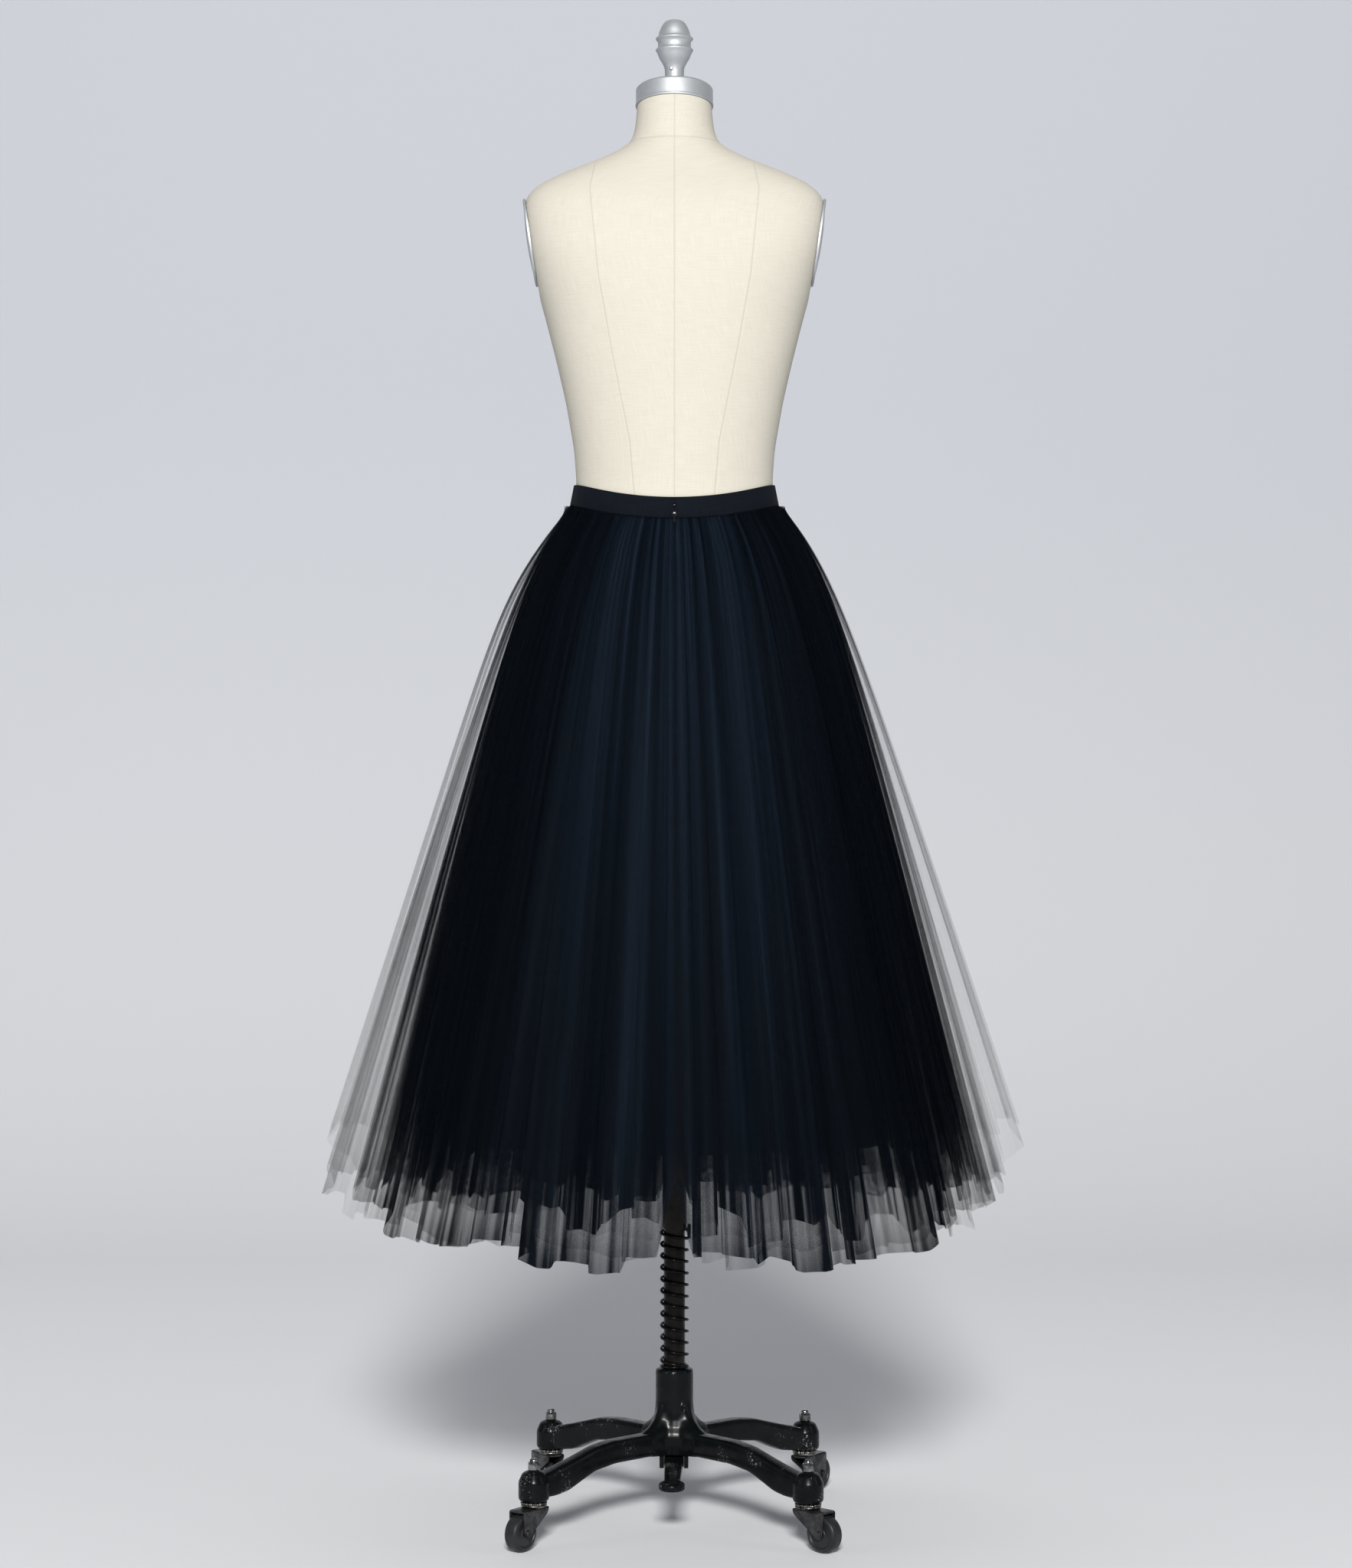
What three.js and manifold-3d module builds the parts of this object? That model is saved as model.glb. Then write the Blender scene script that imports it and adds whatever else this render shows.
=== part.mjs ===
// A tea-length layered tulle skirt, worn by a limbless dress form on a cast-iron stand with casters.
// Millimetres, +Z up. The origin is on the floor below the post. The skirt's closure (its back) faces -Y.
import * as THREE from 'three';
import { mergeVertices } from 'three/addons/utils/BufferGeometryUtils.js';
import Module from 'manifold-3d';

const wasm = await Module();
wasm.setup();

// ---- driving dimensions ----
const SEAT_GAP = 0.3; // between pieces that touch on the real object

// The form, from its cut hip up to the neck: half-sizes of each level section, and how square it is (2 = ellipse).
const FORM_SECTIONS = [
  { z: 935, halfWidth: 158, back: 106, front: 100, square: 2.1 },
  { z: 1000, halfWidth: 167, back: 116, front: 104, square: 2.1 },
  { z: 1060, halfWidth: 162, back: 115, front: 104, square: 2.1 },
  { z: 1120, halfWidth: 143, back: 104, front: 99, square: 2.05 },
  { z: 1165, halfWidth: 125.5, back: 94, front: 91, square: 2 },
  { z: 1210, halfWidth: 114.5, back: 86.5, front: 87, square: 2 },
  { z: 1255, halfWidth: 117.5, back: 88, front: 92, square: 2.1 },
  { z: 1310, halfWidth: 127, back: 92, front: 101, square: 2.2 },
  { z: 1360, halfWidth: 138.5, back: 97, front: 117, square: 2.3 },
  { z: 1405, halfWidth: 150, back: 101, front: 129, square: 2.3 },
  { z: 1445, halfWidth: 161, back: 102, front: 124, square: 2.5 },
  { z: 1485, halfWidth: 171.5, back: 100, front: 110, square: 2.8 },
  { z: 1525, halfWidth: 177.5, back: 93, front: 95, square: 2.8 },
  { z: 1552, halfWidth: 176, back: 82, front: 80, square: 2.6 },
  { z: 1570, halfWidth: 156, back: 71, front: 68, square: 2.4 },
  { z: 1588, halfWidth: 111, back: 62, front: 60, square: 2.2 },
  { z: 1602, halfWidth: 72, back: 55, front: 55, square: 2 },
  { z: 1615, halfWidth: 51, back: 50, front: 50, square: 2 },
  { z: 1636, halfWidth: 46.5, back: 46.5, front: 46.5, square: 2 },
];
const FORM_SIDES = 24;
const NECK = { radius: 44.5, topZ: 1659, tilt: THREE.MathUtils.degToRad(9) };
const CAP = { radius: 45.5, height: 23, edge: 2.5 };
const FINIAL = { stemRadius: 10.5, ringRadius: 22.5, waistRadius: 19.5, domeRadius: 18.5, topZ: 1761, screwZ: 1706 };
const ARM_PLATE = { halfHeight: 52, halfDepth: 40, thickness: 4, dome: 2, x: 167.4, z: 1500, lean: 0.148 };

// The waistband: a straight crepe band around the form's waist. Its lower edge dips at the centre back.
const BAND = { height: 24.5, wall: 3, ease: 0.6, sides: 48 };
const WAIST_SEAM = { sideZ: 1190, backDip: 21, frontDip: 9 };

// Tulle: every layer hangs from the waist seam, bells out over the hip, and then runs straight to its hem.
const TULLE = { wall: 1.4, gap: 0.35, bellOut: 38, bellDrop: 65, fallLength: 830 };
const RING_DROPS = [0, 40, 130, 400]; // levels below the seam where each layer's wall has a ring, above the hem's own
// One row for each layer, from the outside in. A flare is the outward run for each unit of drop. The outer layer stands
// well clear of the rest on the right.
const TULLE_LAYERS = [
  { name: 'tulle_layer_1', leftFlare: 0.319, rightFlare: 0.319, depthFlare: 0.274, sideHemZ: 470, backHemZ: 385, frontHemZ: 390 },
  { name: 'tulle_layer_2', leftFlare: 0.300, rightFlare: 0.268, depthFlare: 0.258, sideHemZ: 414, backHemZ: 356, frontHemZ: 362 },
  { name: 'tulle_layer_3', leftFlare: 0.283, rightFlare: 0.256, depthFlare: 0.242, sideHemZ: 402, backHemZ: 345, frontHemZ: 350 },
  { name: 'tulle_layer_4', leftFlare: 0.268, rightFlare: 0.244, depthFlare: 0.226, sideHemZ: 398, backHemZ: 385, frontHemZ: 388 },
  { name: 'tulle_layer_5', leftFlare: 0.252, rightFlare: 0.232, depthFlare: 0.210, sideHemZ: 425, backHemZ: 418, frontHemZ: 422 },
];
// Gathers that fall as folds, all layers nested. Each fold is a crest with two edges and a valley after it.
const GATHERS = { folds: 32, depth: 8, ownDepth: 4.6, crestShare: 0.36, jitter: 0.42, hemJitter: 12 };
// Broad folds that all layers share: where they are (degrees, -90 = centre back), their width and their height.
const BROAD_FOLDS = [
  { angle: -90, width: 11, height: 11 }, { angle: -64, width: 7, height: -15 },
  { angle: -47, width: 9, height: 9 }, { angle: -112, width: 7, height: -10 },
  { angle: -132, width: 10, height: 9 }, { angle: -24, width: 8, height: -8 },
  { angle: -158, width: 8, height: -9 }, { angle: 28, width: 8, height: -10 },
  { angle: 52, width: 10, height: 9 }, { angle: 74, width: 7, height: -12 },
  { angle: 96, width: 11, height: 10 }, { angle: 118, width: 7, height: -12 },
  { angle: 140, width: 10, height: 8 }, { angle: 163, width: 8, height: -8 },
];
const CENTRE_BACK_PARTING = { angle: -90, halfWidth: 5, rise: 90 }; // the layers part at the hem there

// The lining: a plain A-line underskirt with a few soft waves.
const LINING = { ease: 0.8, wall: 1.4, bellOut: 34, sideFlare: 0.17, depthFlare: 0.15, hemZ: 455, waves: 8, waveDepth: 7,
  sides: 32 };

// The closure at the centre back: the top of a concealed zip on the band, with its slider, pull tab and hook.
const ZIP = { stripWidth: 5, stripThick: 1, sliderWidth: 5.4, sliderThick: 2.6, tabLength: 15, tabWidth: 3.4,
  tabThick: 0.9, tabSlope: THREE.MathUtils.degToRad(41) };

// The stand: rod and column, sliding sleeve, spring, four cast legs, and a caster under each hub.
const ROD = { radius: 12.5, bottomZ: 88, topZ: 790 };
const SLEEVE = { boreRadius: 12.9, radius: 14.25, bottomZ: 342, topZ: 925.7 };
const POST_SIDES = 18;
const SPRING = { meanRadius: 15.3, wireRadius: 1.9, turns: 12, stepsPerTurn: 12, sides: 4 };
const COLUMN = { radius: 22, topZ: 178, flareZ: 141, bottomZ: 80 };
const BASE_TURN = THREE.MathUtils.degToRad(-1.5);
const HUB = { halfSpacing: 155, radius: 17.5, bottomZ: 53.5, topZ: 88 };
const LEG = { width: 22, bevel: 3 };
const CASTER = { trail: 24, wheelApothem: 21, wheelHalfWidth: 8.5, wheelBore: 3.4, facets: 18, axleRadius: 3,
  cheekInset: 9.3, cheekThick: 1.8, plateZ: 44.6, plateThick: 2, raceZ: 46.9, raceTopZ: 53.2, raceRadius: 14.8 };
// Where each caster stands (signs of x and y) and which way its wheel trails from the hub.
const CASTERS = [
  { name: 'back_left', signX: -1, signY: -1, trailAngle: 234.2 },
  { name: 'back_right', signX: 1, signY: -1, trailAngle: 317 },
  { name: 'front_right', signX: 1, signY: 1, trailAngle: 53 },
  { name: 'front_left', signX: -1, signY: 1, trailAngle: 120 },
];
const PEDAL = { pivotY: -18, pivotZ: 72, padY: -113, padZ: 62, padRadius: 15.3, padThick: 10, halfWidth: 11.5 };
const FLANGE = { radius: 32, boreRadius: 14.65, bottomZ: 905, plateBottomZ: 926, plateInset: 7 };

// ---- finishes ----
const finish = (color, roughness, metalness) => new THREE.MeshStandardMaterial({ color, roughness, metalness });
const FINISHES = {
  tulle: () => finish(0x10151c, 0.8, 0), crepe: () => finish(0x1a1d24, 0.85, 0), lining: () => finish(0x0b0e13, 0.6, 0),
  linen: () => finish(0xe7e0cf, 0.9, 0), silver: () => finish(0xb9bfc4, 0.35, 0.9), steel: () => finish(0x8a8d90, 0.35, 1),
  enamel: () => finish(0x15181a, 0.3, 0.3), wornPaint: () => finish(0x2b2724, 0.5, 0.6),
  wheel: () => finish(0x26292b, 0.5, 0), plywood: () => finish(0xb99b6b, 0.7, 0), blackMetal: () => finish(0x121315, 0.3, 0.8),
};

const model = new THREE.Group();
const base = new THREE.Group(); // the stand's lower part, turned a little under the form
base.rotation.z = BASE_TURN;
model.add(base);

function addPiece(name, geometry, material, parent = model) {
  const mesh = new THREE.Mesh(outward(geometry), material());
  mesh.name = name;
  parent.add(mesh);
  return mesh;
}

// ---- closed bodies ----
function indexedGeometry(points, triangles) {
  const geometry = new THREE.BufferGeometry();
  geometry.setAttribute('position', new THREE.Float32BufferAttribute(points.flat(), 3));
  geometry.setIndex(triangles.flat());
  return geometry;
}

// Merges the corners that coincide, and turns the faces round if they point inwards (negative volume).
function outward(geometry) {
  const merged = geometry.clone();
  for (const name of Object.keys(merged.attributes)) if (name !== 'position') merged.deleteAttribute(name);
  const closed = mergeVertices(merged, 1e-4);
  const at = closed.attributes.position;
  const corner = [new THREE.Vector3(), new THREE.Vector3(), new THREE.Vector3()];
  const kept = [];
  let volume = 0;
  for (let i = 0; i < closed.index.count; i += 3) {
    const ids = [0, 1, 2].map((k) => closed.index.getX(i + k));
    if (ids[0] === ids[1] || ids[1] === ids[2] || ids[2] === ids[0]) continue;
    ids.forEach((id, k) => corner[k].fromBufferAttribute(at, id));
    volume += corner[0].dot(corner[1].clone().cross(corner[2]));
    kept.push(ids);
  }
  closed.setIndex(kept.flatMap(([a, b, c]) => (volume < 0 ? [a, c, b] : [a, b, c])));
  closed.computeVertexNormals();
  return closed;
}

function toManifold(geometry) {
  const closed = outward(geometry);
  return new wasm.Manifold(new wasm.Mesh({
    numProp: 3,
    vertProperties: new Float32Array(closed.attributes.position.array),
    triVerts: new Uint32Array(closed.index.array),
  }));
}

function fromManifold(solid) {
  const { vertProperties, triVerts } = solid.getMesh();
  const geometry = new THREE.BufferGeometry();
  geometry.setAttribute('position', new THREE.BufferAttribute(new Float32Array(vertProperties), 3));
  geometry.setIndex(new THREE.BufferAttribute(new Uint32Array(triVerts), 1));
  return geometry;
}

const joined = (...geometries) => fromManifold(geometries.map(toManifold).reduce((sum, next) => sum.add(next)));
const cut = (geometry, ...tools) => fromManifold(tools.map(toManifold).reduce((rest, tool) => rest.subtract(tool),
  toManifold(geometry)));

// A solid through level rings, each an array of the same number of points, closed with a flat fan at each end.
function loft(rings) {
  const count = rings[0].length;
  const points = rings.flat();
  const triangles = [];
  for (let r = 0; r + 1 < rings.length; r++) {
    for (let i = 0; i < count; i++) {
      const j = (i + 1) % count;
      const [a, b, c, d] = [r * count + i, r * count + j, (r + 1) * count + j, (r + 1) * count + i];
      triangles.push([a, b, c], [a, c, d]);
    }
  }
  for (const [ring, flip] of [[0, true], [rings.length - 1, false]]) {
    const centre = points.length;
    const mean = [0, 1, 2].map((k) => rings[ring].reduce((sum, p) => sum + p[k], 0) / count);
    points.push(mean);
    for (let i = 0; i < count; i++) {
      const [a, b] = [ring * count + i, ring * count + ((i + 1) % count)];
      triangles.push(flip ? [centre, b, a] : [centre, a, b]);
    }
  }
  return indexedGeometry(points, triangles);
}

// A wall open at the top and the bottom: outer rings, inner rings, and a rim that joins them at each end.
function clothWall(outerRings, innerRings) {
  const count = outerRings[0].length;
  const levels = outerRings.length;
  const points = [...outerRings.flat(), ...innerRings.flat()];
  const inner = levels * count;
  const triangles = [];
  const quad = (a, b, c, d) => triangles.push([a, b, c], [a, c, d]);
  for (let i = 0; i < count; i++) {
    const j = (i + 1) % count;
    for (let r = 0; r + 1 < levels; r++) {
      const [low, high] = [(r + 1) * count, r * count];
      quad(low + i, low + j, high + j, high + i);
      quad(inner + low + i, inner + high + i, inner + high + j, inner + low + j); // same diagonal, facing in
    }
    const last = (levels - 1) * count;
    quad(i, j, inner + j, inner + i);
    quad(last + j, last + i, inner + last + i, inner + last + j);
  }
  return indexedGeometry(points, triangles);
}

// A round body about Z. The profile is [radius, z] pairs, from axis to axis or closed on itself.
function turned(profile, sides) {
  return new THREE.LatheGeometry(profile.map(([r, z]) => new THREE.Vector2(r, z)), sides).rotateX(Math.PI / 2);
}

const rod = (radius, bottom, top, sides) => turned([[0, bottom], [radius, bottom], [radius, top], [0, top]], sides);
const tube = (bore, radius, bottom, top, sides) => turned(
  [[bore, bottom], [radius, bottom], [radius, top], [bore, top], [bore, bottom]], sides);

// A plate from an outline in the (run, z) plane, centred on that plane. Its run lies along +X.
function uprightPlate(outline, width, bevel = 0) {
  const shape = outline instanceof THREE.Shape ? outline : new THREE.Shape(outline.map(([u, z]) => new THREE.Vector2(u, z)));
  const depth = width - 2 * bevel;
  return new THREE.ExtrudeGeometry(shape, {
    depth, bevelEnabled: bevel > 0, bevelThickness: bevel, bevelSize: bevel, bevelOffset: -bevel, bevelSegments: 1,
    curveSegments: 1,
  }).translate(0, 0, -depth / 2).rotateX(Math.PI / 2);
}

// ---- the form ----
// The section at a height, straight between the rows of the table.
function formSection(z) {
  const rows = FORM_SECTIONS;
  const k = Math.min(rows.length - 2, Math.max(0, rows.findIndex((row, i) => i + 1 < rows.length && z <= rows[i + 1].z)));
  const share = (z - rows[k].z) / (rows[k + 1].z - rows[k].z);
  const mix = (key) => rows[k][key] + (rows[k + 1][key] - rows[k][key]) * share;
  return { halfWidth: mix('halfWidth'), back: mix('back'), front: mix('front'), square: mix('square') };
}

// A point of a section with its half-sizes grown by `out`, at an angle from +X (-90 degrees is the centre back).
function sectionPoint(section, angle, z, out = 0) {
  const power = 2 / section.square;
  const [c, s] = [Math.cos(angle), Math.sin(angle)];
  const depth = (s < 0 ? section.back : section.front) + out;
  return [(section.halfWidth + out) * Math.sign(c) * Math.abs(c) ** power, depth * Math.sign(s) * Math.abs(s) ** power, z];
}

const around = (count, make) => Array.from({ length: count }, (_, i) => make((i / count) * 2 * Math.PI, i));

function makeForm() {
  const rings = FORM_SECTIONS.map((row) => around(FORM_SIDES, (angle) => sectionPoint(row, angle, row.z)));
  rings.push(around(FORM_SIDES, (angle) => {
    const [x, y] = [NECK.radius * Math.cos(angle), NECK.radius * Math.sin(angle)];
    return [x, y, NECK.topZ - y * Math.tan(NECK.tilt)];
  }));
  // Each armhole is cut flat, for its plate.
  const armCuts = [-1, 1].map((side) => new THREE.BoxGeometry(40, 200, 220)
    .applyMatrix4(armPlateFrame(side).multiply(new THREE.Matrix4().makeTranslation(0, 0, 20))
      .multiply(new THREE.Matrix4().makeRotationY(Math.PI / 2))));
  addPiece('form_torso', cut(loft(rings), ...armCuts), FINISHES.linen);

  for (const [name, side] of [['arm_plate_left', -1], ['arm_plate_right', 1]]) {
    const { halfHeight, halfDepth, thickness, dome } = ARM_PLATE;
    const plate = turned([[0, SEAT_GAP], [1, SEAT_GAP], [1, thickness - 1], [0.96, thickness], [0, thickness + dome]], 16)
      .scale(halfHeight, halfDepth, 1)
      .applyMatrix4(armPlateFrame(side));
    addPiece(name, plate, FINISHES.silver);
  }
}

// The plane of an armhole: local Z points out of the form, local X runs up it, and it leans in towards its foot.
function armPlateFrame(side) {
  const up = new THREE.Vector3(side * ARM_PLATE.lean, 0, 1).normalize();
  const out = new THREE.Vector3(side, 0, -ARM_PLATE.lean).normalize();
  const along = out.clone().cross(up);
  return new THREE.Matrix4().makeBasis(up, along, out).setPosition(side * ARM_PLATE.x, 0, ARM_PLATE.z);
}

function makeNeckCapAndFinial() {
  const { radius, height, edge } = CAP;
  const cap = turned([[0, SEAT_GAP], [radius, SEAT_GAP], [radius, height - edge], [radius - edge, height], [0, height + 1]], 22)
    .rotateX(-NECK.tilt).translate(0, 0, NECK.topZ);
  // The finial stands upright through the tilted cap, so the cap has a round seat cut for its stem.
  const { stemRadius, ringRadius, waistRadius, domeRadius, topZ, screwZ } = FINIAL;
  const stemFoot = NECK.topZ + height - 4;
  addPiece('neck_cap', cut(cap, rod(stemRadius + SEAT_GAP, stemFoot - SEAT_GAP, topZ, 12)), FINISHES.silver);
  const profile = [
    [0, stemFoot], [stemRadius, stemFoot], [stemRadius, topZ - 53], [14, topZ - 49], [18.5, topZ - 42], [20, topZ - 37.5],
    [ringRadius, topZ - 35], [20.3, topZ - 32], [waistRadius, topZ - 29], [20.3, topZ - 25], [ringRadius, topZ - 22],
    [domeRadius, topZ - 18], [16.5, topZ - 9], [12, topZ - 2.5], [7, topZ], [0, topZ],
  ];
  addPiece('finial', turned(profile, 12), FINISHES.silver);
  const screw = rod(2, 0, 2.2, 8).rotateX(Math.PI / 2).translate(-3.5, -stemRadius * 0.94 - SEAT_GAP, screwZ - 3.5);
  addPiece('finial_screw', screw, FINISHES.steel);
}

// ---- the skirt ----
const sinShare = (angle) => Math.sin(angle) ** 2;
const seamZ = (angle) => WAIST_SEAM.sideZ
  - (Math.sin(angle) < 0 ? WAIST_SEAM.backDip : WAIST_SEAM.frontDip) * sinShare(angle);

// The form's surface at the waist seam, moved out: where the band and the top of every layer lie.
function waistPoint(angle, out, above = 0) {
  const z = seamZ(angle) + above;
  return sectionPoint(formSection(z), angle, z, out);
}

function makeBand() {
  const { height, wall, ease, sides } = BAND;
  const ring = (out, above) => around(sides, (angle) => waistPoint(angle, out, above));
  addPiece('waistband', clothWall([ring(ease + wall, height), ring(ease + wall, 0)], [ring(ease, height), ring(ease, 0)]),
    FINISHES.crepe);
}

// A repeatable uneven value from -1 to 1, one for each whole number.
function uneven(index, salt) {
  const value = Math.sin(index * 12.9898 + salt * 78.233) * 43758.5453;
  return 2 * (value - Math.floor(value)) - 1;
}

// Three places for each gather: the two edges of its crest (height 1) and its valley (height -1).
function gatherPlaces() {
  const { folds, crestShare, jitter } = GATHERS;
  const places = [];
  const centre = (k) => (k + jitter * uneven((k + folds) % folds, 1) / 2) / folds;
  for (let k = 0; k < folds; k++) {
    const [here, next] = [centre(k), centre(k + 1)];
    const half = (crestShare / 2) * (1 + 0.3 * uneven(k, 2)) / folds;
    const nextHalf = (crestShare / 2) * (1 + 0.3 * uneven((k + 1) % folds, 2)) / folds;
    const valley = (here + half + next - nextHalf) / 2 + (0.1 * uneven(k, 3)) / folds;
    places.push({ turn: here - half, height: 0.75 + 0.25 * uneven(k, 4) });
    places.push({ turn: here + half, height: 0.65 + 0.35 * uneven(k, 5) });
    places.push({ turn: valley, height: -0.8 + 0.2 * uneven(k, 6) });
  }
  return places.map(({ turn, height }, index) => ({ angle: turn * 2 * Math.PI, height, index }));
}

const degreesApart = (a, b) => Math.abs(((a - b + 540) % 360) - 180);

function broadFold(angle) {
  const degrees = THREE.MathUtils.radToDeg(angle);
  return BROAD_FOLDS.reduce((sum, fold) => sum + fold.height * Math.exp(-((degreesApart(degrees, fold.angle) / fold.width) ** 2)), 0);
}

// How far a layer's hem is below the waist seam at one of its places.
function hemDrop(layer, layerIndex, place) {
  const { angle, index } = place;
  const endZ = Math.sin(angle) < 0 ? layer.backHemZ : layer.frontHemZ;
  const level = layer.sideHemZ + (endZ - layer.sideHemZ) * sinShare(angle) ** 0.45;
  const parting = CENTRE_BACK_PARTING;
  const fromParting = degreesApart(THREE.MathUtils.radToDeg(angle), parting.angle) / parting.halfWidth;
  const rise = parting.rise * Math.max(0, 1 - fromParting);
  return seamZ(angle) - level - rise - GATHERS.hemJitter * uneven(index, 11 + layerIndex);
}

// A point of a layer's outer face: waist seam + bell over the hip + straight flare + folds that deepen as they fall.
function tullePoint(layer, layerIndex, place, drop, inward) {
  const { angle, height, index } = place;
  const layersInside = TULLE_LAYERS.length - layerIndex;
  const seamOut = LINING.ease + LINING.wall + layersInside * (TULLE.gap + TULLE.wall);
  const [x, y] = waistPoint(angle, seamOut);
  const fallen = drop / TULLE.fallLength;
  const bell = TULLE.bellOut * (1 - Math.exp(-drop / TULLE.bellDrop));
  const gather = GATHERS.depth * height * (0.16 + 0.84 * fallen) * (1 - Math.exp(-drop / 25));
  const own = GATHERS.ownDepth * uneven(index, 31 + layerIndex) * fallen;
  const out = bell + gather + own + broadFold(angle) * fallen ** 1.2 - inward;
  const sideFlare = layer.leftFlare + (layer.rightFlare - layer.leftFlare) * (1 + Math.cos(angle)) / 2;
  return [
    x + Math.cos(angle) * (out + sideFlare * drop),
    y + Math.sin(angle) * (out + layer.depthFlare * drop),
    seamZ(angle) - SEAT_GAP - drop,
  ];
}

function makeTulle() {
  const places = gatherPlaces();
  TULLE_LAYERS.forEach((layer, layerIndex) => {
    const rings = (inward) => [
      ...RING_DROPS.map((drop) => places.map((place) => tullePoint(layer, layerIndex, place, drop, inward))),
      places.map((place) => tullePoint(layer, layerIndex, place, hemDrop(layer, layerIndex, place), inward)),
    ];
    addPiece(layer.name, clothWall(rings(0), rings(TULLE.wall)), FINISHES.tulle);
  });
}

function makeLining() {
  const { ease, wall, bellOut, sideFlare, depthFlare, hemZ, waves, waveDepth, sides } = LINING;
  const ring = (inward, dropAt) => around(sides, (angle) => {
    const drop = dropAt(angle);
    const [x, y] = waistPoint(angle, ease + wall);
    const fallen = drop / TULLE.fallLength;
    const out = bellOut * (1 - Math.exp(-drop / TULLE.bellDrop)) + waveDepth * Math.cos(waves * angle) * fallen - inward;
    return [x + Math.cos(angle) * (out + sideFlare * drop), y + Math.sin(angle) * (out + depthFlare * drop),
      seamZ(angle) - SEAT_GAP - drop];
  });
  const levels = [...RING_DROPS.map((drop) => () => drop), (angle) => seamZ(angle) - hemZ];
  addPiece('lining', clothWall(levels.map((at) => ring(0, at)), levels.map((at) => ring(wall, at))), FINISHES.lining);
}

// A small piece on the band at the centre back, between two heights and two distances from the band's face.
function bandPiece(width, low, high, near, far) {
  const face = (z) => sectionPoint(formSection(z), -Math.PI / 2, z, BAND.ease + BAND.wall)[1];
  const outline = [[face(low) - near, low], [face(high) - near, high], [face(high) - far, high], [face(low) - far, low]];
  return uprightPlate(outline, width).rotateZ(Math.PI / 2);
}

function makeClosure() {
  const seam = seamZ(-Math.PI / 2);
  const { stripWidth, stripThick, sliderWidth, sliderThick, tabLength, tabWidth, tabThick, tabSlope } = ZIP;
  const stripFar = SEAT_GAP + stripThick;
  addPiece('zip_top', bandPiece(stripWidth, seam + 0.6, seam + BAND.height - 3, SEAT_GAP, stripFar), FINISHES.crepe);
  const sliderNear = stripFar + SEAT_GAP;
  addPiece('zip_slider', bandPiece(sliderWidth, seam + 0.8, seam + 8, sliderNear, sliderNear + sliderThick),
    FINISHES.blackMetal);
  addPiece('band_hook', bandPiece(3.6, seam + 12.5, seam + 17, sliderNear, sliderNear + 1.8), FINISHES.steel);
  // The tab hangs from a pivot just in front of the slider's face, so it can swing up past it.
  const pivotAbove = 5;
  const pivotY = waistPoint(-Math.PI / 2, BAND.ease + BAND.wall, pivotAbove)[1]
    - sliderNear - sliderThick - tabThick / 2 - SEAT_GAP;
  const tab = new THREE.BoxGeometry(tabWidth, tabThick, tabLength).translate(0, 0, -tabLength / 2)
    .rotateX(-tabSlope).translate(0, pivotY, seam + pivotAbove);
  addPiece('zip_pull_tab', tab, FINISHES.blackMetal);
}

// ---- the stand ----
function makePost() {
  addPiece('post_rod', rod(ROD.radius, ROD.bottomZ + SEAT_GAP, ROD.topZ, POST_SIDES), FINISHES.wornPaint);
  addPiece('post_sleeve', tube(SLEEVE.boreRadius, SLEEVE.radius, SLEEVE.bottomZ, SLEEVE.topZ, POST_SIDES), FINISHES.wornPaint);
  const { meanRadius, wireRadius, turns, stepsPerTurn, sides } = SPRING;
  const low = COLUMN.topZ + SEAT_GAP + wireRadius * 1.1;
  const high = SLEEVE.bottomZ - SEAT_GAP - wireRadius * 1.1;
  // The wire: a helix whose section stays upright and points away from the post.
  const rings = Array.from({ length: turns * stepsPerTurn + 1 }, (_, step) => {
    const turn = -(step / stepsPerTurn) * 2 * Math.PI;
    const z = low + ((high - low) * step) / (turns * stepsPerTurn);
    return around(sides, (angle) => {
      const radius = meanRadius + wireRadius * Math.cos(angle);
      return [radius * Math.cos(turn), radius * Math.sin(turn), z + wireRadius * Math.sin(angle)];
    });
  });
  addPiece('spring', loft(rings), FINISHES.blackMetal);
}

function legGeometry(azimuth) {
  const top = [[10, 107], [100, 106.5], [128, 103], [155, 95.5], [185, 87.5], [214, 81]];
  const bottom = [[214, 55.5], [190, 56], [172, 59], [153, 67], [132, 75.5], [100, 80], [10, 80.5]];
  return uprightPlate([...top, ...bottom], LEG.width, LEG.bevel).rotateZ(azimuth);
}

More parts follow.
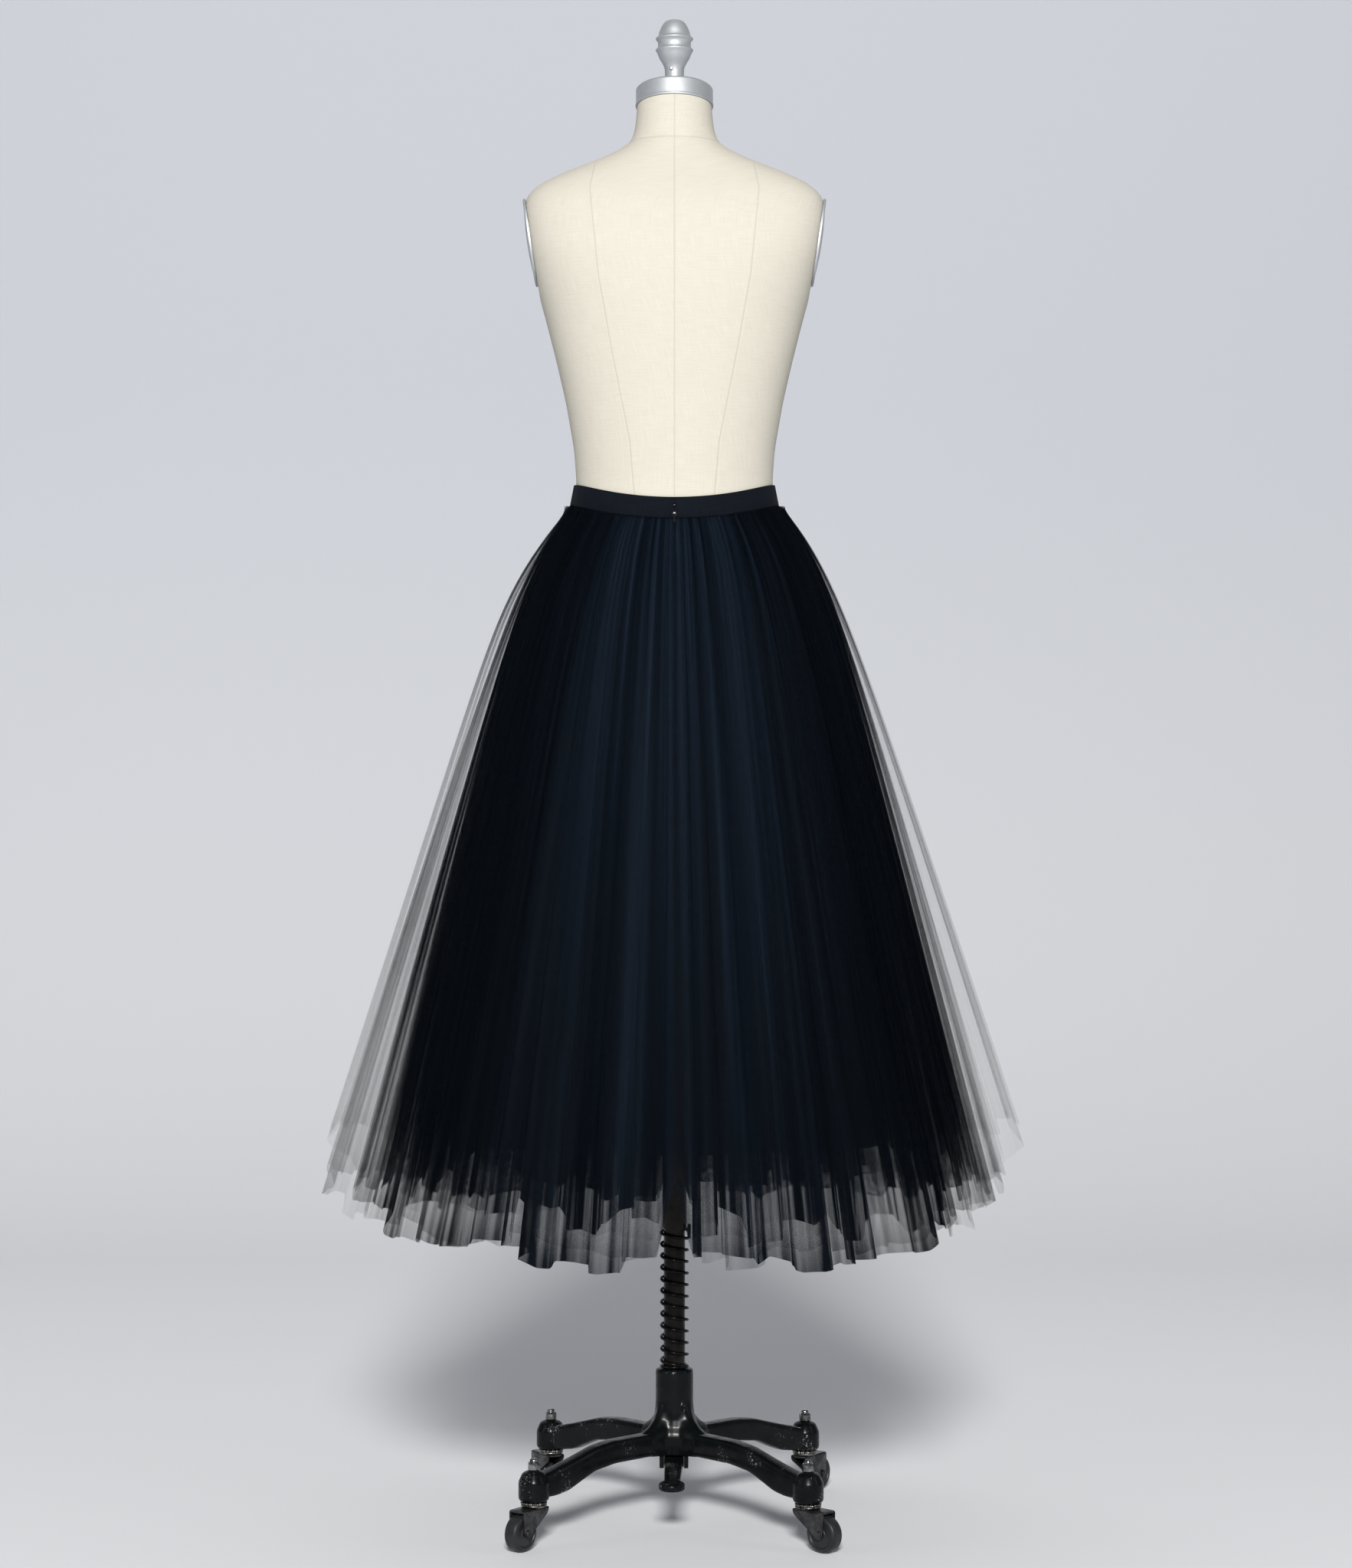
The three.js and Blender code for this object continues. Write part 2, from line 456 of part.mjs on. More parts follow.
function makeBase() {
  const { radius, topZ, flareZ, bottomZ } = COLUMN;
  const column = turned([
    [0, bottomZ], [38, bottomZ], [44, bottomZ + 10], [43, 103], [34, 113], [27, 123], [23.4, 133],
    [radius, flareZ], [radius, topZ - 2], [radius - 2, topZ], [0, topZ],
  ], POST_SIDES);
  const legs = [45, 135, 225, 315].map((degrees) => legGeometry(THREE.MathUtils.degToRad(degrees)));
  const hubProfile = [[0, HUB.bottomZ], [15.5, HUB.bottomZ], [HUB.radius, HUB.bottomZ + 2.5], [HUB.radius, 75],
    [13, 85], [0, HUB.topZ]];
  const hubs = CASTERS.map(({ signX, signY }) => turned(hubProfile, 12)
    .translate(signX * HUB.halfSpacing, signY * HUB.halfSpacing, 0));
  const lugs = [-1, 1].map((side) => new THREE.BoxGeometry(5, 16, 18).translate(side * (PEDAL.halfWidth + 2.8), PEDAL.pivotY, 74));
  const casting = joined(column, ...legs, ...hubs, ...lugs);
  addPiece('base_casting', cut(casting, rod(ROD.radius + 0.4, ROD.bottomZ, topZ + 10, POST_SIDES)), FINISHES.enamel, base);
  for (const { name, signX, signY } of CASTERS) {
    const nut = turned([[0, HUB.topZ + SEAT_GAP], [7.2, HUB.topZ + SEAT_GAP], [7.2, 97], [4.2, 98], [4.2, 101], [0, 101]], 6)
      .translate(signX * HUB.halfSpacing, signY * HUB.halfSpacing, 0);
    addPiece(`stem_nut_${name}`, nut, FINISHES.steel, base);
  }
}

function makePedal() {
  const { pivotY, pivotZ, padY, padZ, padRadius, padThick, halfWidth } = PEDAL;
  const barrel = rod(7, -halfWidth, halfWidth, 12).rotateY(Math.PI / 2).translate(0, pivotY, pivotZ);
  const arm = (y, z, half, thick) => [[-half, y, z], [half, y, z], [half * 0.9, y, z + thick], [-half * 0.9, y, z + thick]];
  const lever = loft([arm(pivotY, pivotZ - 5, halfWidth - 0.6, 11), arm(-60, 63.5, halfWidth - 0.9, 9), arm(padY, padZ - 3, 10, 7)]);
  const pad = turned([[0, padZ - padThick / 2], [padRadius - 2, padZ - padThick / 2], [padRadius, padZ - 3],
    [padRadius, padZ + 2], [padRadius - 2.5, padZ + padThick / 2 - 0.5], [0, padZ + padThick / 2 + 0.5]], 14).translate(0, padY, 0);
  addPiece('height_pedal', joined(barrel, lever, pad), FINISHES.enamel, base);
}

// A caster: race, fork and axle, and wheel. The wheel stands on one flat facet of its tread.
function makeCaster({ name, signX, signY, trailAngle }) {
  const { trail, wheelApothem, wheelHalfWidth, wheelBore, facets, axleRadius, cheekInset, cheekThick, plateZ, plateThick,
    raceZ, raceTopZ, raceRadius } = CASTER;
  const caster = new THREE.Group();
  caster.position.set(signX * HUB.halfSpacing, signY * HUB.halfSpacing, 0);
  base.add(caster);
  const race = turned([[0, raceZ], [raceRadius - 1.5, raceZ], [raceRadius, (raceZ + raceTopZ) / 2],
    [raceRadius - 1.5, raceTopZ], [0, raceTopZ]], 14);
  addPiece(`caster_race_${name}`, race, FINISHES.steel, caster);

  const swivel = new THREE.Group(); // its +X is the way the wheel trails
  swivel.rotation.z = THREE.MathUtils.degToRad(trailAngle) - BASE_TURN;
  caster.add(swivel);
  const cheekOutline = [[-14, plateZ + 1], [31, plateZ + 1], [30, 25], [27.5, 17.5], [trail, 15.6], [20, 17.8], [-14, 41]];
  const cheeks = [-1, 1].map((side) => uprightPlate(cheekOutline, cheekThick)
    .translate(0, side * (cheekInset + cheekThick / 2), 0));
  const reach = cheekInset + cheekThick;
  const plate = new THREE.BoxGeometry(46, 2 * reach, plateThick).translate(8.5, 0, plateZ + plateThick / 2);
  const axle = rod(axleRadius, -reach - 1.5, reach + 1.5, 8).rotateX(Math.PI / 2).translate(trail, 0, wheelApothem);
  addPiece(`caster_fork_${name}`, joined(plate, ...cheeks, axle), FINISHES.blackMetal, swivel);

  const tread = wheelApothem / Math.cos(Math.PI / facets);
  const w = wheelHalfWidth;
  const wheel = turned([[wheelBore, -w], [tread - 3, -w], [tread, -w + 3], [tread, w - 3], [tread - 3, w], [wheelBore, w],
    [wheelBore, -w]], facets)
    .rotateZ(Math.PI / facets).rotateX(Math.PI / 2).translate(trail, 0, wheelApothem);
  addPiece(`caster_wheel_${name}`, wheel, FINISHES.wheel, swivel);
}

function makeFormFoot() {
  const { radius, boreRadius, bottomZ, plateBottomZ, plateInset } = FLANGE;
  const bottom = FORM_SECTIONS[0];
  const ring = (z) => around(FORM_SIDES, (angle) => sectionPoint(bottom, angle, z, -plateInset));
  addPiece('form_bottom_plate', loft([ring(plateBottomZ), ring(bottom.z - SEAT_GAP)]), FINISHES.plywood);
  addPiece('form_flange', tube(boreRadius, radius, bottomZ, plateBottomZ - SEAT_GAP, 22), FINISHES.enamel);
}

makeForm();
makeNeckCapAndFinial();
makeFormFoot();
makeBand();
makeLining();
makeTulle();
makeClosure();
makePost();
makeBase();
makePedal();
CASTERS.forEach(makeCaster);

export default model;
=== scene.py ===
import math

import bmesh
import bpy
import numpy as np
from mathutils import Matrix, Vector


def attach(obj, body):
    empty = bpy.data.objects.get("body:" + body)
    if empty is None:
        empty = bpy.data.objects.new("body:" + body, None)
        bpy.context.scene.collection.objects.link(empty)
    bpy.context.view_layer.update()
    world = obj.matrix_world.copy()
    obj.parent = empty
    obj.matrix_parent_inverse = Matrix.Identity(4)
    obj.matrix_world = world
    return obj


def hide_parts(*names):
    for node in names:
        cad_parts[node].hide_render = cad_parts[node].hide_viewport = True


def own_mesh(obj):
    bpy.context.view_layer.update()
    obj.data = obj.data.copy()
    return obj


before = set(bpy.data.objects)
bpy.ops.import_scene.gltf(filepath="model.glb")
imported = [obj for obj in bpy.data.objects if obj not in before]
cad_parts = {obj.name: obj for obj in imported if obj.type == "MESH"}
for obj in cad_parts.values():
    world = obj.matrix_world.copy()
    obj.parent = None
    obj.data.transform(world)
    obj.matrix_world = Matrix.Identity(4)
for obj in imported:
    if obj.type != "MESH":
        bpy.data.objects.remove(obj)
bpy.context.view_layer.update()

# ---------------------------------------------------------------------------------------------------------------
# The camera stands behind the wearer, level with the middle of the skirt.
camera_data = bpy.data.cameras.new("camera")
camera_data.lens = 78.15
camera_data.shift_x = 0.001
camera_data.shift_y = 0.0032
camera = bpy.data.objects.new("camera", camera_data)
camera.location = (0, -4.0, 0.858)
camera.rotation_euler = (math.radians(90), 0, 0)
bpy.context.collection.objects.link(camera)
scene = bpy.context.scene
scene.camera = camera
scene.view_settings.view_transform = "Standard"
scene.cycles.transparent_max_bounces = 48  # a look through the skirt crosses many sheets of net

# ---------------------------------------------------------------------------------------------------------------
# The studio: a seamless sweep of pale paper, one large lamp high in front, a soft strip at each side and a wide lamp
# over the backdrop. It is the stage, not part of the object.


def mesh_from_grid(name, points, wraps=True, uv=None):
    """A surface through a grid of points (rows, columns, xyz): every cell becomes one four-sided face, and with wraps
    the last column joins the first. uv has one column more than the points where the grid wraps."""
    rows, columns = points.shape[:2]
    index = np.arange(rows * columns).reshape(rows, columns)
    left, right = (index, np.roll(index, -1, axis=1)) if wraps else (index[:, :-1], index[:, 1:])
    quads = np.stack([left[:-1], right[:-1], right[1:], left[1:]], axis=-1).reshape(-1, 4)
    mesh = bpy.data.meshes.new(name)
    mesh.vertices.add(rows * columns)
    mesh.vertices.foreach_set("co", points.reshape(-1).astype(np.float32))
    mesh.loops.add(quads.size)
    mesh.loops.foreach_set("vertex_index", quads.reshape(-1).astype(np.int32))
    mesh.polygons.add(len(quads))
    mesh.polygons.foreach_set("loop_start", np.arange(0, quads.size, 4, dtype=np.int32))
    mesh.update(calc_edges=True)
    mesh.polygons.foreach_set("use_smooth", np.ones(len(quads), bool))
    if uv is not None:
        across = uv[:, :-1], uv[:, 1:]
        corners = np.stack([across[0][:-1], across[1][:-1], across[1][1:], across[0][1:]], axis=2)
        mesh.uv_layers.new(name="cloth").data.foreach_set("uv", corners.reshape(-1).astype(np.float32))
    return mesh


def place(name, mesh, material):
    """Puts a mesh into the scene as one object at the origin, with its material."""
    piece = bpy.data.objects.new(name, mesh)
    bpy.context.collection.objects.link(piece)
    mesh.materials.clear()
    mesh.materials.append(material)
    return piece


def start_material(name, **plain):
    """A material with one Principled shader. Each keyword sets that shader's own socket."""
    material = bpy.data.materials.new(name)
    material.use_nodes = True
    shader = material.node_tree.nodes["Principled BSDF"]
    for key, value in plain.items():
        shader.inputs[key.replace("_", " ")].default_value = value
    return material, material.node_tree, shader


def node(tree, kind, inputs=None, **settings):
    """Adds a shader node. inputs maps its sockets, by name or number, to plain values or to outputs to link."""
    made = tree.nodes.new(kind)
    for key, value in settings.items():
        setattr(made, key, value)
    for key, value in (inputs or {}).items():
        if isinstance(value, bpy.types.NodeSocket):
            tree.links.new(value, made.inputs[key])
        else:
            made.inputs[key].default_value = value
    return made


def calculate(tree, operation, *values, **settings):
    """A Math node on plain values or outputs. Gives its output."""
    return node(tree, "ShaderNodeMath", dict(enumerate(values)), operation=operation, **settings).outputs[0]


def blend(tree, factor, low, high, **settings):
    """Mixes two colours, each a plain (r, g, b) or an output to link, by a factor. Gives the mixed colour's output."""
    colors = {socket: value if isinstance(value, bpy.types.NodeSocket) else (*value, 1)
              for socket, value in ((6, low), (7, high))}
    return node(tree, "ShaderNodeMix", {"Factor": factor, **colors}, data_type="RGBA", **settings).outputs[2]


sweep_start, sweep_bend, sweep_radius, sweep_top, sweep_half = -7.0, 2.2, 4.2, 8.0, 9.0
bend = np.linspace(0, math.pi / 2, 24)
sweep_side = np.vstack([
    [[sweep_start, 0]],
    np.column_stack([sweep_bend + sweep_radius * np.sin(bend), sweep_radius * (1 - np.cos(bend))]),
    [[sweep_bend + sweep_radius, sweep_top]],
])
sweep_points = np.stack([
    np.column_stack([np.full(len(sweep_side), x), sweep_side]) for x in (-sweep_half, sweep_half)
], axis=1)
paper, paper_tree, paper_shader = start_material("studio_paper", Roughness=0.9, Specular_IOR_Level=0.2)
paper_place = node(paper_tree, "ShaderNodeTexCoord").outputs["Object"]
paper_noise = node(paper_tree, "ShaderNodeTexNoise", {"Scale": 0.35, "Detail": 1.0, "Vector": paper_place})
paper_tone = node(paper_tree, "ShaderNodeValToRGB", {"Fac": paper_noise.outputs["Fac"]})
paper_tone.color_ramp.elements[0].color = (0.775, 0.782, 0.80, 1)
paper_tone.color_ramp.elements[1].color = (0.825, 0.832, 0.85, 1)
# The paper darkens a little up the wall, as the light falls off.
paper_height = node(paper_tree, "ShaderNodeSeparateXYZ", {0: paper_place}).outputs[2]
paper_fall = node(paper_tree, "ShaderNodeMapRange", {"Value": paper_height, "From Min": -0.6, "From Max": 2.2},
                  interpolation_type="SMOOTHSTEP").outputs[0]
paper_shade = blend(paper_tree, paper_fall, paper_tone.outputs["Color"], (0.667, 0.689, 0.74))
paper_tree.links.new(paper_shade, paper_shader.inputs["Base Color"])
# The paper is seen from its face alone, so that the object can be looked at from behind it.
paper_back = node(paper_tree, "ShaderNodeNewGeometry").outputs["Backfacing"]
paper_tree.links.new(calculate(paper_tree, "SUBTRACT", 1.0, paper_back), paper_shader.inputs["Alpha"])
sweep = place("studio_sweep", mesh_from_grid("studio_sweep", sweep_points, wraps=False), paper)


def area_lamp(name, location, target, size, watts, color=(1, 1, 1)):
    """A square soft lamp that faces its target."""
    data = bpy.data.lights.new(name, "AREA")
    data.shape = "RECTANGLE"
    data.size, data.size_y = size
    data.energy = watts
    data.color = color
    lamp = bpy.data.objects.new(name, data)
    lamp.location = location
    lamp.rotation_euler = (Vector(target) - Vector(location)).to_track_quat("-Z", "Y").to_euler()
    bpy.context.collection.objects.link(lamp)


area_lamp("key_lamp", (0.0, -12.0, 6.3), (0, 0.6, 0.8), (2.2, 1.8), 2200, (1, 0.99, 0.97))
area_lamp("left_strip", (-2.6, -1.0, 1.5), (0, 0, 1.0), (0.7, 2.2), 7, (0.97, 0.98, 1))
area_lamp("right_strip", (2.6, -1.0, 1.5), (0, 0, 1.0), (0.7, 2.2), 7, (0.97, 0.98, 1))
area_lamp("backdrop_lamp", (-1.6, 1.8, 3.6), (-0.6, 3.6, 0.0), (6.0, 0.8), 17, (0.98, 0.99, 1))
world = bpy.data.worlds.new("studio_air")
world.use_nodes = True
world.node_tree.nodes["Background"].inputs["Color"].default_value = (0.88, 0.90, 0.94, 1)
world.node_tree.nodes["Background"].inputs["Strength"].default_value = 0.165
scene.world = world

# ---------------------------------------------------------------------------------------------------------------
# The stand's base: one iron casting under thick black enamel. A column with a flared foot carries four low arms, each
# with a round boss that holds a caster. It is turned a little under the form.


def fillet(corners, radius, steps=4):
    """Rounds a chain of corners. Each inner corner becomes a quadratic curve that starts and ends `radius` from it, or
    45% of the way along a shorter side."""
    chain = np.asarray(corners, float)
    here = chain[1:-1]

    def towards(other):
        gap = other - here
        return here + gap * np.minimum(radius / np.linalg.norm(gap, axis=1, keepdims=True), 0.45)

    start, end = towards(chain[:-2])[:, None], towards(chain[2:])[:, None]
    t = np.linspace(0, 1, steps)[None, :, None]
    curve = (1 - t) ** 2 * start + 2 * t * (1 - t) * here[:, None] + t ** 2 * end
    return np.vstack([chain[:1], curve.reshape(-1, chain.shape[1]), chain[-1:]])


def round_angles(count):
    """Equally spaced angles round a full turn, from zero: 2 pi i / count."""
    return np.arange(count) * 2 * math.pi / count


def squarish(wave, power):
    """Swells a sine or cosine, which makes a round section squarish: sign(w) |w|^power."""
    return np.sign(wave) * np.abs(wave) ** power


def revolve(profile, sides):
    """Carries a profile of (radius, height) pairs in millimetres round the Z axis: x = r cos a, y = r sin a, z = h."""
    radius, height = np.asarray(profile, float).T[:, :, None] / 1000
    angle = round_angles(sides)
    return np.stack([radius * np.cos(angle), radius * np.sin(angle), height + 0 * angle], axis=-1)


def moved(points, turn=0, shift=(0, 0, 0), tip=0):
    """Tips points about X, turns them about Z (both in degrees), then shifts them by metres."""
    matrix = Matrix.Translation(shift) @ Matrix.Rotation(math.radians(turn), 4, "Z") @ Matrix.Rotation(
        math.radians(tip), 4, "X")
    array = np.array(matrix)
    return points @ array[:3, :3].T + array[:3, 3]


def closed_piece(name, grids, material, sharp=35):
    """Joins closed grids into one object. Poles are merged, faces point outwards, and edges over `sharp` degrees stay
    crisp."""
    made = bmesh.new()
    for grid in grids:
        part = mesh_from_grid(name, grid)
        shell = bmesh.new()
        shell.from_mesh(part)
        bmesh.ops.remove_doubles(shell, verts=shell.verts, dist=1e-6)
        bmesh.ops.recalc_face_normals(shell, faces=shell.faces)
        shell.to_mesh(part)
        shell.free()
        made.from_mesh(part)
        bpy.data.meshes.remove(part)
    mesh = bpy.data.meshes.new(name)
    made.to_mesh(mesh)
    made.free()
    mesh.polygons.foreach_set("use_smooth", np.ones(len(mesh.polygons), bool))
    mesh.set_sharp_from_angle(angle=math.radians(sharp))
    return place(name, mesh, material)


def ring_loft(rings):
    """Closes a chain of rings (stations, points, xyz) at both ends with their middle points."""
    ends = [np.repeat(rings[k].mean(axis=0)[None], rings.shape[1], axis=0)[None] for k in (0, -1)]
    return np.concatenate([ends[0], rings, ends[1]])


def node_group(name, inputs, outputs):
    """An empty node group. inputs maps its inputs to their plain values, and outputs its outputs to their kinds. Gives
    the group, the sockets that hand in its inputs and those that take its outputs."""
    tree = bpy.data.node_groups.new(name, "ShaderNodeTree")
    for label, value in inputs.items():
        kind = "Color" if isinstance(value, tuple) else "Float"
        tree.interface.new_socket(label, in_out="INPUT", socket_type=f"NodeSocket{kind}").default_value = value
    for label, kind in outputs.items():
        tree.interface.new_socket(label, in_out="OUTPUT", socket_type=f"NodeSocket{kind}")
    return tree, node(tree, "NodeGroupInput").outputs, node(tree, "NodeGroupOutput").inputs


def chipped_enamel():
    """Black enamel as a node group. Low lumps of the casting show through it, and chips show dull metal."""
    tree, given, result = node_group("chipped_enamel", {"Chips": 0.5, "Lumps": 90.0}, {
        "Color": "Color", "Roughness": "Float", "Metallic": "Float", "Height": "Float"})
    place_on = node(tree, "ShaderNodeTexCoord").outputs["Object"]
    lumps = node(tree, "ShaderNodeTexNoise", {"Vector": place_on, "Scale": given["Lumps"], "Detail": 3.0})
    lumps = lumps.outputs["Fac"]
    fine = node(tree, "ShaderNodeTexNoise", {"Vector": place_on, "Scale": 420.0, "Detail": 2.0, "Roughness": 0.7})
    area = node(tree, "ShaderNodeTexNoise", {"Vector": place_on, "Scale": 26.0, "Detail": 2.0}).outputs["Fac"]
    amount = calculate(tree, "ADD", calculate(tree, "MULTIPLY", fine.outputs["Fac"], area), given["Chips"])
    chip = node(tree, "ShaderNodeMapRange", {"Value": amount, "From Min": 0.86, "From Max": 0.9}).outputs[0]
    tint = node(tree, "ShaderNodeMapRange", {"Value": area, "From Min": 0.35, "From Max": 0.7}).outputs[0]
    black = blend(tree, tint, (0.002, 0.0027, 0.003), (0.0045, 0.006, 0.007))
    rough = node(tree, "ShaderNodeMapRange", {"Value": lumps, "From Min": 0.3, "From Max": 0.75, "To Min": 0.18,
                                              "To Max": 0.4})
    tree.links.new(blend(tree, chip, black, (0.3, 0.29, 0.27)), result["Color"])
    tree.links.new(rough.outputs[0], result["Roughness"])
    tree.links.new(calculate(tree, "MULTIPLY", chip, 0.8), result["Metallic"])
    tree.links.new(calculate(tree, "SUBTRACT", lumps, chip), result["Height"])
    return tree


enamel_group = chipped_enamel()


def enamelled(name, chips, lumps, bump):
    """An enamel finish with its own amount of chips and size of lumps."""
    material, tree, shader = start_material(name, Specular_IOR_Level=0.09, Coat_Roughness=0.1)
    coat = node(tree, "ShaderNodeGroup", node_tree=enamel_group)
    coat.inputs["Chips"].default_value, coat.inputs["Lumps"].default_value = chips, lumps
    shader.inputs["Coat Weight"].default_value = 0.04
    relief = node(tree, "ShaderNodeBump", {"Height": coat.outputs["Height"], "Strength": bump, "Distance": 0.0006})
    for output, socket in (("Color", "Base Color"), ("Roughness", "Roughness"), ("Metallic", "Metallic")):
        tree.links.new(coat.outputs[output], shader.inputs[socket])
    tree.links.new(relief.outputs["Normal"], shader.inputs["Normal"])
    return material


base_turn = -1.5
boss_reach = 0.155
boss_signs = {"back_left": (-1, -1), "back_right": (1, -1), "front_right": (1, 1), "front_left": (-1, 1)}
base_enamel = enamelled("base_enamel", 0.47, 85.0, 0.35)

column = fillet([[12.9, 88], [12.9, 178], [20, 178], [22, 176], [22, 141], [24, 132], [30, 121], [40, 112], [52, 106],
                 [58, 101], [58, 90], [50, 80], [12.9, 80], [12.9, 88]], 3.0)
# The column's foot spreads along the arms as webs, and stays close to the column between them.
column_grid = revolve(column[:-1], 96)
azimuth = round_angles(96)
web = 0.24 + 0.76 * ((1 - np.cos(4 * azimuth)) / 2) ** 2.2
column_radius = column[:-1, 0, None]
column_grid[..., :2] *= np.where(column_radius > 22, (22 + (column_radius - 22) * web) / column_radius, 1)[..., None]
boss = fillet([[0, 53.5], [15.5, 53.5], [17.5, 56], [17.5, 75], [13, 85], [6, 88], [0, 88]], 2.5)
arm_top = np.array([[10, 107], [100, 106.5], [128, 103], [155, 95.5], [185, 87.5], [214, 81], [222, 79.5]])
arm_foot = np.array([[10, 80.5], [100, 80], [132, 75.5], [153, 67], [172, 59], [190, 56], [222, 55.5]])


def arm_grid(azimuth):
    """One arm: a rounded bar section carried out from the column. Its top and foot follow smoothed lines, and the
    section is a squarish oval, y = w/2 |cos a|^0.4 and z = h/2 |sin a|^0.4, with their signs."""
    run = np.linspace(10, 218, 60)

    def level(line):
        fine = np.linspace(-30, 260, 600)
        kernel = np.exp(-np.linspace(-2.2, 2.2, 41) ** 2)
        smooth = np.convolve(np.pad(np.interp(fine, *line.T), 20, "edge"), kernel / kernel.sum(), "valid")
        return np.interp(run, fine, smooth)

    top, foot = level(arm_top), level(arm_foot)
    angle = round_angles(32)
    half_width = 11 - 0.9 * np.exp(-((run - 150) / 45) ** 2)
    y = half_width[:, None] * squarish(np.cos(angle), 0.4)
    z = ((top + foot) / 2)[:, None] + ((top - foot) / 2)[:, None] * squarish(np.sin(angle), 0.4)
    rings = np.stack([run[:, None] + 0 * y, y, z], axis=-1) / 1000
    return moved(ring_loft(rings), azimuth + base_turn)


def boss_place(corner):
    """Where a boss's axis meets the floor, in metres."""
    x, y = boss_signs[corner]
    return Matrix.Rotation(math.radians(base_turn), 3, "Z") @ Vector((x * boss_reach, y * boss_reach, 0))


bosses = [moved(revolve(boss, 48), base_turn, boss_place(corner)) for corner in boss_signs]
lug_ring = fillet([[-8, 65], [-8, 80], [-5, 83], [5, 83], [8, 80], [8, 65], [-8, 65]], 2.0)
lugs = []
for side in (-1, 1):
    lug_sides = [np.column_stack([np.full(len(lug_ring), side * 14.3 + x), lug_ring[:, 0] * k - 18, lug_ring[:, 1]])
                 for x, k in ((-2.5, 0.92), (-1.9, 1), (1.9, 1), (2.5, 0.92))]
    lugs.append(moved(ring_loft(np.stack(lug_sides)[:, :-1] / 1000), base_turn))
base = closed_piece("base_cast_arms", [moved(column_grid, base_turn)] + bosses + lugs
                    + [arm_grid(a) for a in (45, 135, 225, 315)], base_enamel)
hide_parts("base_casting")
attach(base, "base")

# ---------------------------------------------------------------------------------------------------------------
# The caster stems' nuts: domed bright nuts on the bosses, their chrome nicked by the spanner.


def scuffed_metal():
    """Bare or plated metal as a node group: fine smears of brightness and roughness over small dents."""
    tree, given, result = node_group("scuffed_metal", {
        "Light": (0.6, 0.6, 0.6, 1), "Dark": (0.3, 0.3, 0.3, 1), "Scale": 120.0, "Smooth": 0.2, "Rough": 0.45,
    }, {"Color": "Color", "Roughness": "Float", "Height": "Float"})
    place_on = node(tree, "ShaderNodeTexCoord").outputs["Object"]
    smear = node(tree, "ShaderNodeTexNoise", {"Vector": place_on, "Scale": given["Scale"], "Detail": 4.0,
                                              "Roughness": 0.65}).outputs["Fac"]
    tone = node(tree, "ShaderNodeMapRange", {"Value": smear, "From Min": 0.35, "From Max": 0.65}).outputs[0]
    rough = node(tree, "ShaderNodeMapRange", {"Value": tone, "To Min": given["Rough"], "To Max": given["Smooth"]})
    tree.links.new(blend(tree, tone, given["Dark"], given["Light"]), result["Color"])
    tree.links.new(rough.outputs[0], result["Roughness"])
    tree.links.new(smear, result["Height"])
    return tree


metal_group = scuffed_metal()


def metal_finish(name, light, dark, scale, smooth, rough, metallic=1.0, bump=0.15, distance=0.0003, **plain):
    """A metal or moulded finish from the scuffed_metal group."""
    material, tree, shader = start_material(name, Metallic=metallic, **plain)
    scuffs = node(tree, "ShaderNodeGroup", node_tree=metal_group)
    for socket, value in (("Light", (*light, 1)), ("Dark", (*dark, 1)), ("Scale", scale), ("Smooth", smooth),
                          ("Rough", rough)):
        scuffs.inputs[socket].default_value = value
    relief = node(tree, "ShaderNodeBump", {"Height": scuffs.outputs["Height"], "Strength": bump, "Distance": distance})
    tree.links.new(scuffs.outputs["Color"], shader.inputs["Base Color"])
    tree.links.new(scuffs.outputs["Roughness"], shader.inputs["Roughness"])
    tree.links.new(relief.outputs["Normal"], shader.inputs["Normal"])
    return material


nut_metal = metal_finish("nut_metal", (0.34, 0.34, 0.34), (0.006, 0.006, 0.007), 150.0, 0.15, 0.4)


def six_sided(profile, flats):
    """Carries a profile round six flat sides, each with `flats` columns: r is the profile's radius over cos of the
    angle from the nearest flat's middle."""
    sides = 6 * flats
    angle = round_angles(sides)
    off = (angle + math.pi / 6) % (math.pi / 3) - math.pi / 6
    points = revolve(profile, sides)
    points[..., :2] *= (math.cos(math.pi / 6) / np.cos(off))[None, :, None]
    return points


nut_sides = fillet([[0, 88.3], [7.2, 88.3], [7.2, 95], [6.4, 97], [0, 97]], 0.5)
nut_dome = fillet([[0, 96.6], [4.6, 96.6], [4.6, 99], [3.6, 101], [0, 101]], 1.2)
for corner in boss_signs:
    hub = boss_place(corner)
    nut_grids = [moved(six_sided(nut_sides, 4), 12, hub), moved(revolve(nut_dome, 32), 0, hub)]
    nut = closed_piece(f"stem_nut_{corner}_domed", nut_grids, nut_metal)
    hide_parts(f"stem_nut_{corner}")
    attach(nut, "base")

# ---------------------------------------------------------------------------------------------------------------
# The casters. A two-part bearing race sits under each boss. Below it a pressed steel fork turns freely and trails a
# hard rubber wheel on a riveted axle.
race_steel = metal_finish("race_steel", (0.3, 0.29, 0.27), (0.015, 0.015, 0.016), 170.0, 0.2, 0.45)
fork_black = metal_finish("fork_black", (0.085, 0.085, 0.09), (0.02, 0.02, 0.022), 70.0, 0.24, 0.42, metallic=0.85)
wheel_rubber = metal_finish("wheel_rubber", (0.017, 0.019, 0.021), (0.009, 0.0105, 0.012), 60.0, 0.35, 0.5,
                            metallic=0.0, bump=0.3, Specular_IOR_Level=0.3)
trail, axle_height = 0.024, 0.021  # how far the axle lies behind the swivel and above the floor, in metres
trail_angles = {"back_left": 234.2, "back_right": 317.0, "front_right": 53.0, "front_left": 120.0}
